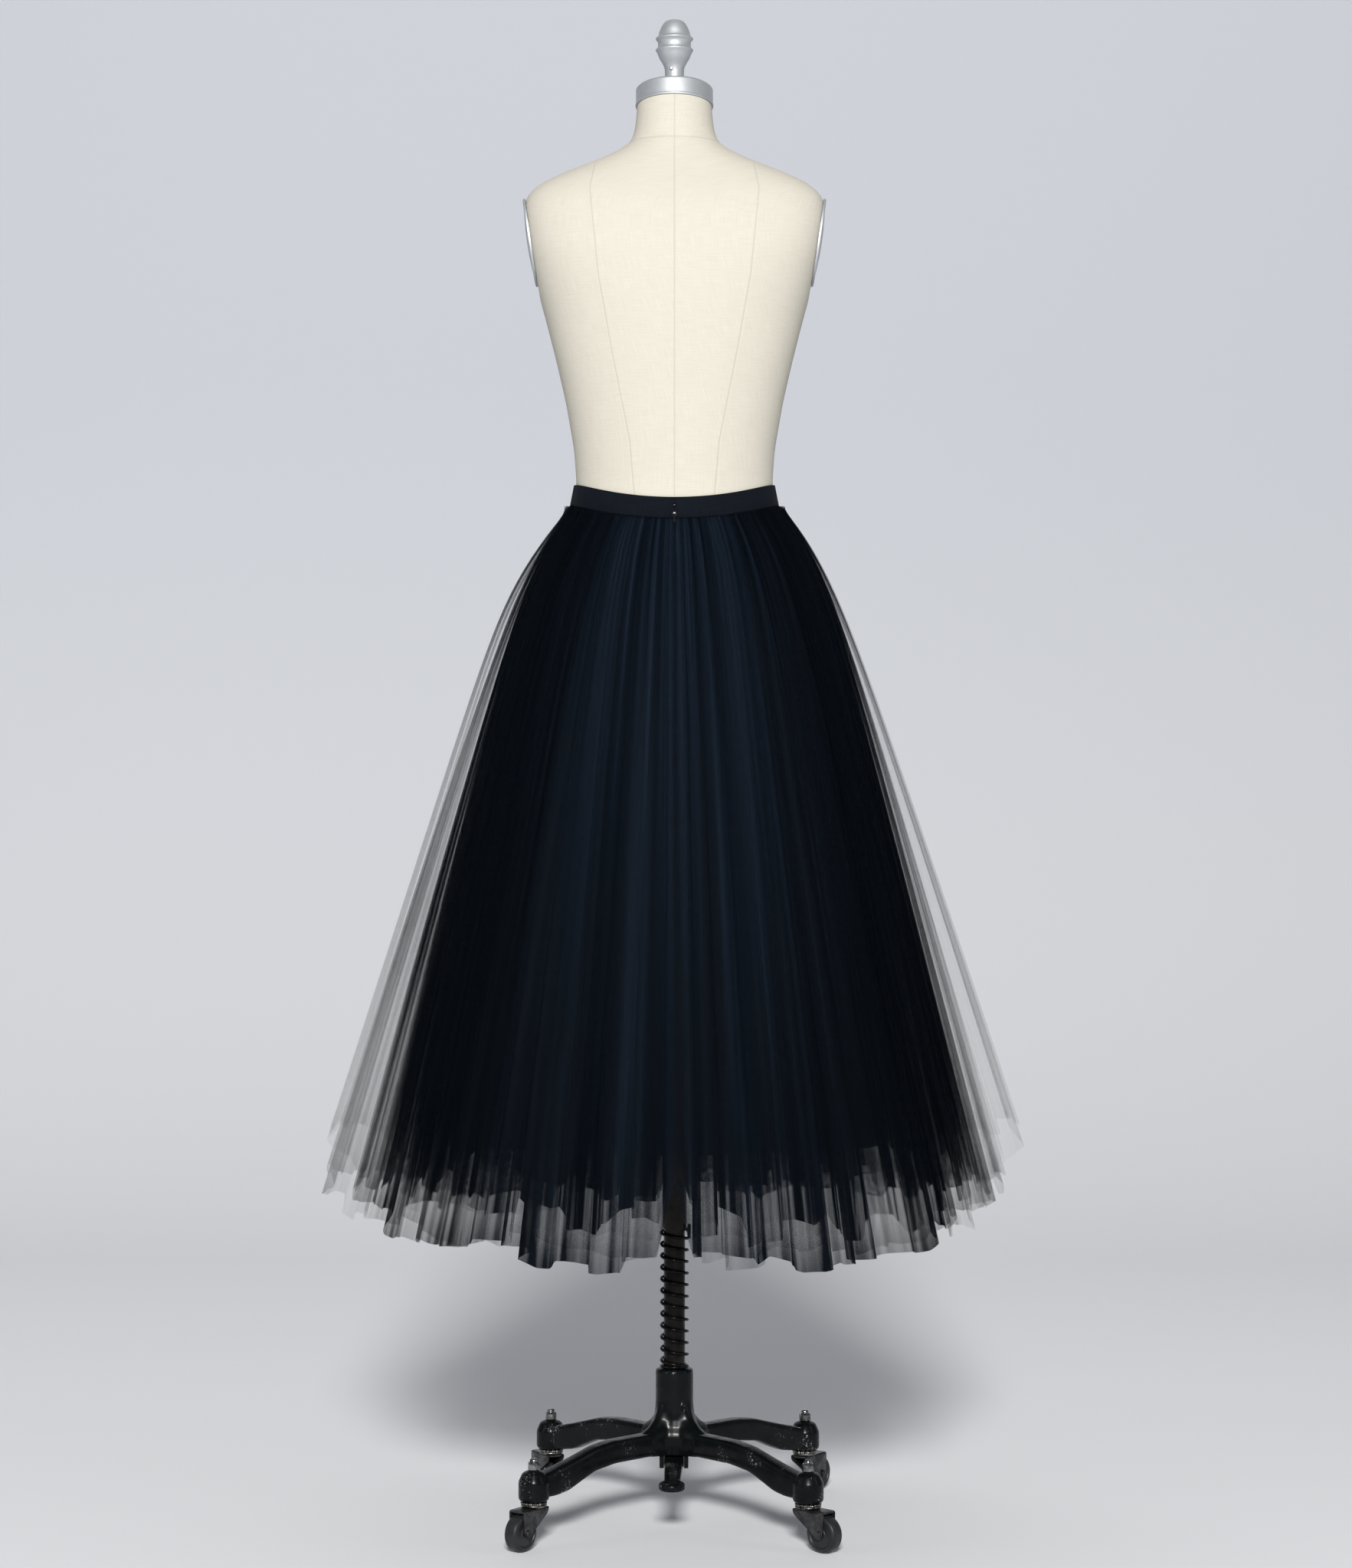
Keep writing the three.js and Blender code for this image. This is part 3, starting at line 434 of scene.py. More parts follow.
race = fillet([[0, 46.9], [13.4, 46.9], [14.8, 48.2], [14.8, 49.4], [14.0, 49.9], [14.0, 50.3], [14.8, 50.8],
               [14.8, 51.9], [13.2, 53.2], [0, 53.2]], 0.4)
wheel_profile = fillet([
    [3.4, -7.6], [6.4, -7.6], [7.0, -6.9], [7.6, -6.6], [14.2, -6.6], [15.2, -7.2], [15.8, -8.4], [17.6, -8.5],
    [20.0, -7.2], [21.0, -4.4], [21.0, 4.4], [20.0, 7.2], [17.6, 8.5], [15.8, 8.4], [15.2, 7.2], [14.2, 6.6],
    [7.6, 6.6], [7.0, 6.9], [6.4, 7.6], [3.4, 7.6], [3.4, -7.6],
], 0.9)
cheek_outline = fillet([[8.5, 46.6], [31, 46.6], [30.6, 26], [28.0, 17.8], [24, 15.4], [19.6, 17.6], [-12, 39.5],
                        [-14, 43], [-14, 46.6], [8.5, 46.6]], 3.0, 5)[:-1]


def plate_grid(outline, inner, outer, crown=0.35):
    """A flat plate from a closed outline (run, height) between two depths, with softened edges, as a ring loft."""
    middle = outline.mean(axis=0)
    levels = [(inner, 1 - crown / 12), (inner + crown, 1), (outer - crown, 1), (outer, 1 - crown / 12)]
    rings = [np.column_stack([(outline[:, 0] - middle[0]) * k + middle[0], np.full(len(outline), depth),
                              (outline[:, 1] - middle[1]) * k + middle[1]]) for depth, k in levels]
    return ring_loft(np.stack(rings) / 1000)


def closed_ring(grid):
    """Repeats a grid's first row at its end, so that a hollow section closes on itself."""
    return np.concatenate([grid, grid[:1]])


# The balls of the race stand out as a row of beads between its two washers.
race_grid = revolve(race, 120)
bead_rows = (race[:, 0] > 13.9) & (race[:, 1] > 49.7) & (race[:, 1] < 52.2)
race_grid[bead_rows, :, :2] *= (1 + 0.035 * np.cos(20 * np.arange(120) * 2 * math.pi / 120))[None, :, None]
top_plate = fillet([[8, -11.1], [29, -11.1], [31.5, -8.5], [31.5, 8.5], [29, 11.1], [-10, 11.1], [-14.5, 6],
                    [-14.5, -6], [-10, -11.1], [8, -11.1]], 3.0)[:-1]
top_plate_rings = np.stack([np.column_stack([top_plate * share, np.full(len(top_plate), z)])
                            for z, share in ((44.6, 0.985), (44.9, 1), (46.2, 1), (46.6, 0.98))]) / 1000
axle_parts = [(2.9, -11.6, 11.6), (4.4, -13.0, -11.2), (4.4, 11.2, 13.0)]  # the pin and its two rivet heads
axle_grids = [revolve(fillet([[0, low], [radius, low], [radius, high], [0, high]], 0.5), 24)
              for radius, low, high in axle_parts]
fork_grids = [ring_loft(top_plate_rings), plate_grid(cheek_outline, 9.3, 11.1), plate_grid(cheek_outline, -11.1, -9.3)]
fork_grids += [moved(grid, 0, (trail, 0, axle_height), 90) for grid in axle_grids]
wheel_grid = moved(closed_ring(revolve(wheel_profile[:-1], 64)), 0, (trail, 0, axle_height), 90)
for corner, trail_angle in trail_angles.items():
    hub = boss_place(corner)
    ring = closed_piece(f"caster_race_{corner}_turned", [moved(race_grid, 0, hub)], race_steel)
    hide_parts(f"caster_race_{corner}")
    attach(ring, "base")

    fork = closed_piece(f"caster_fork_{corner}_pressed", [moved(grid, trail_angle, hub) for grid in fork_grids],
                        fork_black)
    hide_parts(f"caster_fork_{corner}")
    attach(fork, f"swivel_{corner}")

    wheel = closed_piece(f"caster_wheel_{corner}_moulded", [moved(wheel_grid, trail_angle, hub)], wheel_rubber)
    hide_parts(f"caster_wheel_{corner}")
    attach(wheel, f"wheel_{corner}")

# ---------------------------------------------------------------------------------------------------------------
# The height pedal: a cast lever hinged between two lugs on the column's foot. Its round pad points to the back.
pedal_enamel = enamelled("pedal_enamel", 0.5, 110.0, 0.35)
pad = fillet([[0, 57], [13.3, 57], [15.3, 59], [15.3, 64], [12.8, 66.5], [0, 67.2]], 1.6)
lever_run = np.linspace(-18, -113, 24)
lever_mid = np.interp(lever_run, [-113, -60, -18], [62.5, 68, 72.5])
lever_half = np.interp(lever_run, [-113, -60, -18], [9.0, 10.2, 10.9])
lever_high = np.interp(lever_run, [-113, -60, -18], [3.5, 4.5, 5.5])
lever_angle = round_angles(24)
lever_rings = np.stack([
    lever_half[:, None] * squarish(np.cos(lever_angle), 0.5),
    lever_run[:, None] + 0 * lever_angle,
    lever_mid[:, None] + lever_high[:, None] * squarish(np.sin(lever_angle), 0.5),
], axis=-1) / 1000
barrel = moved(revolve(fillet([[0, -11.4], [7, -11.4], [7, 11.4], [0, 11.4]], 1.0), 36), 0, (0, 0, 0), 90)
barrel = moved(barrel, 90, (0, -0.018, 0.072))
pedal = closed_piece("height_pedal_cast", [moved(grid, base_turn) for grid in (
    moved(revolve(pad, 56), 0, (0, -0.113, 0)), ring_loft(lever_rings), barrel)], pedal_enamel)
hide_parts("height_pedal")
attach(pedal, "pedal")

# ---------------------------------------------------------------------------------------------------------------
# The post: a steel rod fixed in the column, and the form's tube that slides over it. Both were black, and years of
# sliding have rubbed them brown and bare.
post_metal = metal_finish("post_metal", (0.018, 0.0145, 0.012), (0.002, 0.002, 0.0028), 46.0, 0.2, 0.4, metallic=0.15,
                          bump=0.2, Specular_IOR_Level=0.1)
rod = closed_piece("post_rod_turned", [revolve(fillet([[0, 88.3], [12.5, 88.3], [12.5, 790], [0, 790]], 1.0), 64)],
                   post_metal)
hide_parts("post_rod")
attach(rod, "base")
sleeve_profile = fillet([[12.9, 342], [14.25, 342], [14.25, 925.7], [12.9, 925.7], [12.9, 342]], 0.4)[:-1]
sleeve = closed_piece("post_sleeve_drawn", [closed_ring(revolve(sleeve_profile, 64))], post_metal)
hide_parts("post_sleeve")
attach(sleeve, "sleeve")

# ---------------------------------------------------------------------------------------------------------------
# The spring: hard-drawn wire coiled round the rod between the column and the tube. Its last turn at each end lies
# flat and closed, and it flattens as the form is pushed down.
spring_metal = metal_finish("spring_metal", (0.012, 0.012, 0.0125), (0.002, 0.002, 0.003), 75.0, 0.12, 0.3,
                            metallic=0.3, Specular_IOR_Level=0.12)
spring_turns, spring_wire, spring_radius = 13.0, 1.9, 15.3
spring_low, spring_high = 180.5, 339.6
coil_turn = np.linspace(0, 1, int(spring_turns * 40))
rise = np.clip((coil_turn - 1.0 / spring_turns) / (1 - 1.3 / spring_turns), 0, 1)
coil_angle = -coil_turn * spring_turns * 2 * math.pi
coil_centre = np.column_stack([spring_radius * np.cos(coil_angle), spring_radius * np.sin(coil_angle),
                               spring_low + (spring_high - spring_low) * rise])
# The wire's upper end turns up and hooks down beside the tube.
spring_hook = fillet([coil_centre[-1], [16.6, -2.5, 340.5], [17.2, -4.5, 346], [17.6, -7, 346], [17.0, -8.5, 331]],
                     2.5, 6)
coil_centre = np.vstack([coil_centre, spring_hook[1:]])
along_wire = np.gradient(coil_centre, axis=0)
along_wire /= np.linalg.norm(along_wire, axis=1, keepdims=True)
outwards = coil_centre * [1, 1, 0] / np.linalg.norm(coil_centre[:, :2], axis=1, keepdims=True)
outwards -= (outwards * along_wire).sum(axis=1, keepdims=True) * along_wire
outwards /= np.linalg.norm(outwards, axis=1, keepdims=True)
upwards = np.cross(along_wire, outwards)
wire_angle = round_angles(14)
coil_rings = (coil_centre[:, None] + spring_wire * (np.cos(wire_angle)[None, :, None] * outwards[:, None]
              + np.sin(wire_angle)[None, :, None] * upwards[:, None]))
spring = closed_piece("spring_coiled", [ring_loft(coil_rings / 1000)], spring_metal, 60)
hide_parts("spring")
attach(spring, "base")
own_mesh(spring)

# ---------------------------------------------------------------------------------------------------------------
# The form: a moulded torso without head or limbs, cut level at the hip and covered in cream linen. Eight panels of
# linen meet in pressed seams, and a seam runs round the foot of the neck.

# Level sections, in millimetres: height, half width, depth behind, depth in front, squareness (2 is an ellipse).
form_rows = np.array([
    (935, 158, 106, 100, 2.1), (1000, 167, 116, 104, 2.1), (1060, 162, 115, 104, 2.1), (1120, 143, 104, 99, 2.05),
    (1165, 125.5, 94, 91, 2), (1210, 114.5, 86.5, 87, 2), (1255, 117.5, 88, 92, 2.1), (1310, 127, 92, 101, 2.2),
    (1360, 138.5, 97, 117, 2.3), (1405, 150, 101, 129, 2.3), (1445, 161, 102, 124, 2.5), (1485, 171.5, 100, 110, 2.8),
    (1525, 177.5, 93, 95, 2.8), (1552, 176, 82, 80, 2.6), (1570, 156, 71, 68, 2.4), (1588, 111, 62, 60, 2.2),
    (1602, 72, 55, 55, 2), (1615, 51, 50, 50, 2), (1636, 46.5, 46.5, 46.5, 2), (1659, 44.5, 44.5, 44.5, 2),
])
neck_top, neck_tilt = 1659.0, math.tan(math.radians(9))
row_soften = 9.0  # how far the torso's rows are smoothed into each other
arm_plate = {"x": 167.4, "z": 1500.0, "lean": 0.148}


def plate_place(side):
    """The middle of an armhole, and the way out of it: square to its plate, which leans."""
    outward = np.array([side, 0, -arm_plate["lean"]]) / math.hypot(1, arm_plate["lean"])
    return np.array([side * arm_plate["x"], 0, arm_plate["z"]]), outward


def form_section(z, soften=0.0):
    """Half width, depth behind, depth in front and squareness at a height: straight between the rows, and with soften
    averaged over a bell of that many millimetres."""
    heights, values = form_rows[:, 0], form_rows[:, 1:]
    spread = np.linspace(-2, 2, 9) * soften
    share = np.exp(-np.linspace(-2, 2, 9) ** 2 / 2)
    lifted = np.clip(np.asarray(z, float)[..., None] + spread, heights[0], heights[-1])
    return [(np.interp(lifted, heights, column) * share).sum(-1) / share.sum() for column in values.T]


def section_point(section, angle, z, out=0.0):
    """A point on a section grown by `out`: x = w sign(cos a)|cos a|^(2/n), and y the same with the sine."""
    half_width, back, front, square = section
    c, s = np.cos(angle), np.sin(angle)
    depth = np.where(s < 0, back, front) + out
    return np.stack(np.broadcast_arrays((half_width + out) * squarish(c, 2 / square),
                                        depth * squarish(s, 2 / square), z), axis=-1)


def seam_angle(z, x_places):
    """The angle at which a seam with these (height, x) places crosses the section at z, from +X towards the front."""
    x = np.interp(z, *np.array(x_places, float).T)
    half_width, *_, square = form_section(z, row_soften)
    return np.arccos(np.clip(x / half_width, 0, 1) ** (square / 2))


neck_seam_z = 1616.0
torso_z = np.unique(np.concatenate([np.linspace(935, 1659, 110), neck_seam_z + np.linspace(-5, 5, 15)]))
back_seam = seam_angle(torso_z, [(935, 74), (1000, 76), (1120, 60), (1190, 46), (1260, 52), (1360, 72), (1450, 88),
                                 (1552, 98), (1588, 92), (1602, 55), (1616, 32), (1659, 27)])
front_seam = seam_angle(torso_z, [(935, 78), (1000, 80), (1120, 62), (1190, 50), (1260, 58), (1360, 82), (1405, 90),
                                  (1552, 98), (1588, 92), (1602, 55), (1616, 32), (1659, 27)])
level = np.ones(len(torso_z))
seams = [-math.pi * level, back_seam - math.pi, -math.pi / 2 * level, -back_seam, 0 * level, front_seam,
         math.pi / 2 * level, math.pi - front_seam, math.pi * level]
# Columns are set out by length along each level, so that they stand equally close to every seam.
torso_section = [values[:, None] for values in form_section(torso_z, row_soften)]
fine_angle = np.linspace(-math.pi, math.pi, 4001)
steps = np.linalg.norm(np.diff(section_point(torso_section, fine_angle, torso_z[:, None]), axis=1), axis=-1)
girth = np.pad(np.cumsum(steps, axis=1), ((0, 0), (1, 0)))
seam_at = np.array([np.interp(row, fine_angle, reach) for row, reach in zip(np.stack(seams, axis=1), girth)])
near_seam, seam_margin = np.array([0, 0.5, 1.0, 1.6, 2.3, 3.2, 4.5]), 6.5
panel_places, panel_gap = [], []
for first, last in zip(seam_at.T[:-1], seam_at.T[1:]):
    width = (last - first)[:, None]
    inner = np.linspace(0, 1, 18)[None, 1:-1] * (1 - 2 * seam_margin / width) + seam_margin / width
    share = np.concatenate([near_seam[None] / width, inner, 1 - near_seam[None, :0:-1] / width], axis=1)
    panel_places.append(first[:, None] + width * share)
    panel_gap.append(np.minimum(share, 1 - share) * width)
torso_reach, seam_gap = np.concatenate(panel_places, axis=1), np.concatenate(panel_gap, axis=1)
torso_angle = np.array([np.interp(row, reach, fine_angle) for row, reach in zip(torso_reach, girth)])
# The four curved seams end where they meet the shoulder seam, so they fade out above it.
curved = np.arange(torso_angle.shape[1]) // (torso_angle.shape[1] // 16) % 4
seam_gap = seam_gap + 40 * np.clip((torso_z - 1590) / 8, 0, 1)[:, None] * np.isin(curved, (1, 2))


def pressed_seam(gap):
    """Height of the cloth beside a seam, in millimetres: a narrow groove between two soft lips."""
    return -0.3 * np.exp(-(gap / 0.7) ** 2) + 0.08 * np.exp(-((gap - 2.4) / 1.6) ** 2)


neck_gap = np.abs(torso_z - neck_seam_z)[:, None]
neck_step = 0.9 * np.clip((neck_seam_z - torso_z) / 6, 0, 1)[:, None]  # the neck's linen lies under the body's
torso_out = pressed_seam(seam_gap) + pressed_seam(neck_gap) + neck_step - 0.9
torso = section_point(torso_section, torso_angle, torso_z[:, None], torso_out)
neck_share = np.clip((torso_z - 1618) / (neck_top - 1618), 0, 1)[:, None]
torso[..., 2] -= neck_share ** 1.5 * torso[..., 1] * neck_tilt
for side in (-1, 1):
    armhole, outward = plate_place(side)
    beyond = np.maximum((torso - armhole) @ outward, 0)
    torso -= beyond[..., None] * outward
torso_seam = np.exp(-(np.minimum(seam_gap, neck_gap) / 0.7) ** 2)


def woven_cloth():
    """Plain weave as a node group on a UV map in metres: threads over and under, with slubs along both ways."""
    tree, given, result = node_group("woven_cloth", {"Thread": 0.0006, "Slub": 0.5},
                                     {"Height": "Float", "Tone": "Float"})
    flat = node(tree, "ShaderNodeUVMap", uv_map="cloth").outputs["UV"]
    across = node(tree, "ShaderNodeSeparateXYZ", {0: flat}).outputs
    threads = [calculate(tree, "DIVIDE", across[axis], given["Thread"]) for axis in (0, 1)]
    waves = [calculate(tree, "SINE", calculate(tree, "MULTIPLY", thread, math.pi)) for thread in threads]
    slubs = []
    for stretch in ((40.0, 900.0, 1.0), (900.0, 40.0, 1.0)):
        spot = node(tree, "ShaderNodeMapping", {"Vector": flat, "Scale": stretch}).outputs[0]
        slubs.append(node(tree, "ShaderNodeTexNoise", {"Vector": spot, "Scale": 1.0, "Detail": 2.0}).outputs["Fac"])
    slub = calculate(tree, "ADD", *slubs)
    weave, lift = calculate(tree, "MULTIPLY", *waves), calculate(tree, "MULTIPLY", slub, given["Slub"])
    height = calculate(tree, "ADD", weave, lift)
    tree.links.new(height, result["Height"])
    tree.links.new(slub, result["Tone"])
    return tree


weave_group = woven_cloth()


def cloth_finish(name, light, dark, thread, slub, bump, roughness, attribute=None, **plain):
    """A woven cloth: its tone runs with the slubs, its threads are a bump, and an attribute may darken its seams."""
    material, tree, shader = start_material(name, Roughness=roughness, **plain)
    weave = node(tree, "ShaderNodeGroup", node_tree=weave_group)
    weave.inputs["Thread"].default_value, weave.inputs["Slub"].default_value = thread, slub
    tone = node(tree, "ShaderNodeMapRange", {"Value": weave.outputs["Tone"], "From Min": 0.75, "From Max": 1.25})
    color = blend(tree, tone.outputs[0], dark, light)
    if attribute:
        shade = node(tree, "ShaderNodeAttribute", attribute_name=attribute).outputs["Fac"]
        color = blend(tree, shade, color, [c * 0.88 for c in dark])
    relief = node(tree, "ShaderNodeBump", {"Height": weave.outputs["Height"], "Strength": bump, "Distance": thread / 3})
    tree.links.new(color, shader.inputs["Base Color"])
    tree.links.new(relief.outputs["Normal"], shader.inputs["Normal"])
    return material


def add_attribute(mesh, name, values):
    """Stores one number for each point of the mesh."""
    mesh.attributes.new(name, "FLOAT", "POINT").data.foreach_set("value", np.asarray(values, np.float32).reshape(-1))


linen = cloth_finish("form_linen", (0.565, 0.537, 0.472), (0.52, 0.49, 0.415), 0.00062, 0.6, 0.15, 0.9, "seam",
                     Specular_IOR_Level=0.2)
torso_uv_u = np.concatenate([torso_reach, girth[:, -1:]], axis=1) / 1000
torso_uv = np.stack([torso_uv_u, np.repeat(torso_z[:, None] / 1000, torso_uv_u.shape[1], axis=1)], axis=-1)
torso_mesh = mesh_from_grid("form_linen_cover", torso / 1000, uv=torso_uv)
add_attribute(torso_mesh, "seam", torso_seam)
torso_shell = bmesh.new()
torso_shell.from_mesh(torso_mesh)
torso_shell.edges.ensure_lookup_table()
bmesh.ops.holes_fill(torso_shell, edges=[edge for edge in torso_shell.edges if edge.is_boundary], sides=0)
torso_shell.to_mesh(torso_mesh)
torso_shell.free()
torso_mesh.set_sharp_from_angle(angle=math.radians(50))
cover = place("form_linen_cover", torso_mesh, linen)
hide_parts("form_torso")
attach(cover, "form")

# ---------------------------------------------------------------------------------------------------------------
# The armhole plates: pressed oval discs, painted silver, with a rolled rim and a low dome.
silver = metal_finish("silver_satin", (0.50, 0.518, 0.538), (0.42, 0.438, 0.458), 34.0, 0.52, 0.6, metallic=0.7,
                      bump=0.06)
plate_tall, plate_wide = 52, 40  # half sizes
# The plate from its middle outwards and back: share of its half size, and height over the armhole.
plate_profile = np.array([[0, 0.3], [1, 0.3], [1.0, 2.4], [0.985, 3.2], [0.955, 3.4], [0.93, 2.9], [0.9, 2.8],
                          [0.6, 4.4], [0.3, 5.4], [0, 5.7]])
for name, side in (("left", -1), ("right", 1)):
    angle = round_angles(72)
    armhole, outward = plate_place(side)
    up = np.array([side * arm_plate["lean"], 0, 1]) / math.hypot(1, arm_plate["lean"])
    along = np.cross(outward, up)
    radius, height = plate_profile[:, 0, None, None], plate_profile[:, 1, None, None]
    grid = (armhole + radius * plate_tall * np.cos(angle)[None, :, None] * up
            + radius * plate_wide * np.sin(angle)[None, :, None] * along + height * outward)
    plate = closed_piece(f"arm_plate_{name}_pressed", [grid / 1000], silver)
    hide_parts(f"arm_plate_{name}")
    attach(plate, "form")

# ---------------------------------------------------------------------------------------------------------------
# The neck cap and the finial: spun and turned aluminium. The cap leans with the neck, and the finial stands upright
# through it and is held by a small set screw.
cap = fillet([[0, 0.3], [45.5, 0.3], [45.9, 1.4], [45.9, 2.6], [45.3, 3.2], [45.3, 20.5], [42.8, 23], [0, 24]], 0.8, 6)
cap_piece = closed_piece("neck_cap_spun", [moved(revolve(cap, 96), 0, (0, 0, neck_top / 1000), -9)], silver)
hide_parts("neck_cap")
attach(cap_piece, "form")
finial_profile = np.array([
    [0, 1678.3], [11.2, 1678.3], [11.2, 1700], [11.6, 1704.5], [12.9, 1708], [15, 1712], [17.6, 1716], [19.2, 1720],
    [20.2, 1722.6], [21.2, 1724.2], [21.9, 1725.4], [22, 1726.3], [21.3, 1727.3], [20.2, 1728], [19.5, 1729.5],
    [19.2, 1732], [19.3, 1734.5], [19.9, 1736.6], [21.1, 1737.6], [21.9, 1738.6], [22, 1739.5], [21.2, 1740.6],
    [19.8, 1741.4], [18.9, 1743], [18, 1747], [16, 1752], [13.5, 1756.5], [10.5, 1759.6], [7.5, 1760.9], [0, 1761.2],
])
finial = closed_piece("finial_turned", [revolve(finial_profile, 96)], silver, 75)
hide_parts("finial")
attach(finial, "form")
screw_metal = metal_finish("screw_metal", (0.75, 0.76, 0.77), (0.35, 0.36, 0.37), 300.0, 0.15, 0.3)
screw_head = fillet([[0, 0], [2.1, 0], [2.1, 1.6], [1.2, 2.2], [0, 2.2]], 0.5)
screw_grid = moved(revolve(screw_head, 24), 0, (-0.0035, -0.01017, 1.7025), 90)
screw = closed_piece("finial_screw_turned", [screw_grid], screw_metal)
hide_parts("finial_screw")
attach(screw, "form")

# ---------------------------------------------------------------------------------------------------------------
# The form's foot: a plywood disc closes the hip, and a cast flange screwed to it grips the tube.
plywood, plywood_tree, plywood_shader = start_material("form_plywood", Roughness=0.65)
grain_place = node(plywood_tree, "ShaderNodeMapping", {
    "Vector": node(plywood_tree, "ShaderNodeTexCoord").outputs["Object"], "Scale": (9.0, 90.0, 160.0)})
grain = node(plywood_tree, "ShaderNodeTexNoise", {"Vector": grain_place.outputs[0], "Scale": 1.4, "Detail": 5.0,
                                                  "Roughness": 0.6})
grain_tone = node(plywood_tree, "ShaderNodeValToRGB", {"Fac": grain.outputs["Fac"]})
grain_tone.color_ramp.elements[0].color = (0.3, 0.19, 0.09, 1)
grain_tone.color_ramp.elements[1].color = (0.56, 0.41, 0.24, 1)
plywood_tree.links.new(grain_tone.outputs["Color"], plywood_shader.inputs["Base Color"])
foot_angle = round_angles(144)
foot_levels = [(926.0, 8.2), (927.2, 7.0), (933.5, 7.0), (934.7, 7.6)]
foot_rings = np.stack([section_point(form_section(935.0), foot_angle, z, -inset) for z, inset in foot_levels]) / 1000
foot_plate = closed_piece("form_bottom_board", [ring_loft(foot_rings)], plywood)
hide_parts("form_bottom_plate")
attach(foot_plate, "form")
flange_profile = fillet([[14.65, 905], [20, 905], [21, 907], [21.5, 917], [24, 920], [32, 921.5], [32, 925.7],
                         [14.65, 925.7], [14.65, 905]], 1.2)[:-1]
flange = closed_piece("form_flange_cast", [closed_ring(revolve(flange_profile, 64))], base_enamel)
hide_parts("form_flange")
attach(flange, "form")

# ---------------------------------------------------------------------------------------------------------------
# The waistband: a straight band of matte black crepe, faced and turned, with its ends meeting at the centre back.
# Its lower edge dips there.
crepe = cloth_finish("band_crepe", (0.0052, 0.0072, 0.0115), (0.0036, 0.005, 0.008), 0.00042, 0.9, 0.5, 0.82,
                     Specular_IOR_Level=0.06, Sheen_Weight=0.01, Sheen_Roughness=0.4)
band_height, band_wall, band_ease = 24.5, 3.0, 0.6
waist_side_z, waist_back_dip, waist_front_dip = 1190.0, 21.0, 9.0


def seam_z(angle):
    """The waist seam's height: level at the sides, and lower by the sine squared towards the back and the front."""
    sine = np.sin(angle)
    return waist_side_z - np.where(sine < 0, waist_back_dip, waist_front_dip) * sine ** 2


def waist_point(angle, out, above=0.0):
    """A point over the waist seam, `out` from the form and `above` the seam."""
    z = seam_z(angle) + above
    return section_point(form_section(z), angle, z, out)


band_section = fillet([[band_ease, 12], [band_ease, 0], [band_ease + band_wall, 0],
                       [band_ease + band_wall, band_height], [band_ease, band_height], [band_ease, 12]], 0.9, 4)
waist_reach = 95  # about how far the back lies from the post, which turns millimetres there into an angle
band_gap = np.concatenate([np.linspace(-4, 4, 33) / waist_reach,
                           np.linspace(4.6 / waist_reach, 2 * math.pi - 4.6 / waist_reach, 360)])
band_angle = -math.pi / 2 + band_gap
slit = np.exp(-((band_angle + math.pi / 2) * waist_reach / 0.75) ** 2)
ripple = 0.16 * np.sin(37 * band_angle) + 0.12 * np.sin(61 * band_angle + 1.3)
band_rows = []
for out, above in band_section:
    relief = ripple * math.sin(math.pi * above / band_height) - 2.2 * slit
    band_rows.append(waist_point(band_angle, out + (out > band_ease + 1) * relief, above))
band_grid = np.stack(band_rows)
band_mesh_uv = np.stack(np.meshgrid(np.append(band_gap, 2 * math.pi) * 0.1, band_section[:, 1] / 1000
                                    + band_section[:, 0] / 1000), axis=-1)
band = place("waistband_crepe", mesh_from_grid("waistband_crepe", band_grid / 1000, uv=band_mesh_uv), crepe)
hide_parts("waistband")
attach(band, "form")

# ---------------------------------------------------------------------------------------------------------------
# The closure at the centre back: the top of a concealed zip with its slider and pull tab, and a hook that holds the
# band's ends above it. The tab hangs on the slider and rests on the gathers.
zip_black = metal_finish("zip_black", (0.16, 0.16, 0.17), (0.03, 0.03, 0.034), 60.0, 0.1, 0.18,
                         metallic=0.9, bump=0.05)
hook_steel = metal_finish("hook_steel", (0.02, 0.02, 0.021), (0.006, 0.006, 0.006), 90.0, 0.2, 0.3,
                          metallic=0.9, bump=0.05)
tab_black = metal_finish("tab_black", (0.018, 0.018, 0.02), (0.007, 0.007, 0.008), 60.0, 0.12, 0.25,
                         metallic=0.5, bump=0.05)
back_seam_z = 1169.0


def on_the_band(rows):
    """A closed piece on the band's back face, from rows of (height above the seam, half width, near, far) in
    millimetres. Each ring is a squarish oval, x = w |cos a|^0.5 and y = d |sin a|^0.5, with their signs."""
    above, half_width, near, far = np.array(rows, float).T[:, :, None]
    angle = round_angles(24)
    face = waist_point(-math.pi / 2, band_ease + band_wall, above)[..., 1]
    return ring_loft(np.stack([half_width * squarish(np.cos(angle), 0.5),
                               face - (near + far) / 2 + (far - near) / 2 * squarish(np.sin(angle), 0.5),
                               back_seam_z + above + 0 * angle], axis=-1) / 1000)


def zip_teeth(low, high):
    """A strip of zip coil between two heights: its depth follows |cos| with one crest for each 1.1 mm."""
    at = np.arange(low, high, 0.18)
    far = 1.45 + 0.55 * np.abs(np.cos(math.pi * at / 1.1))
    return on_the_band(np.stack([at, 0.75 + 0 * at, 1.2 + 0 * at, far], axis=1))


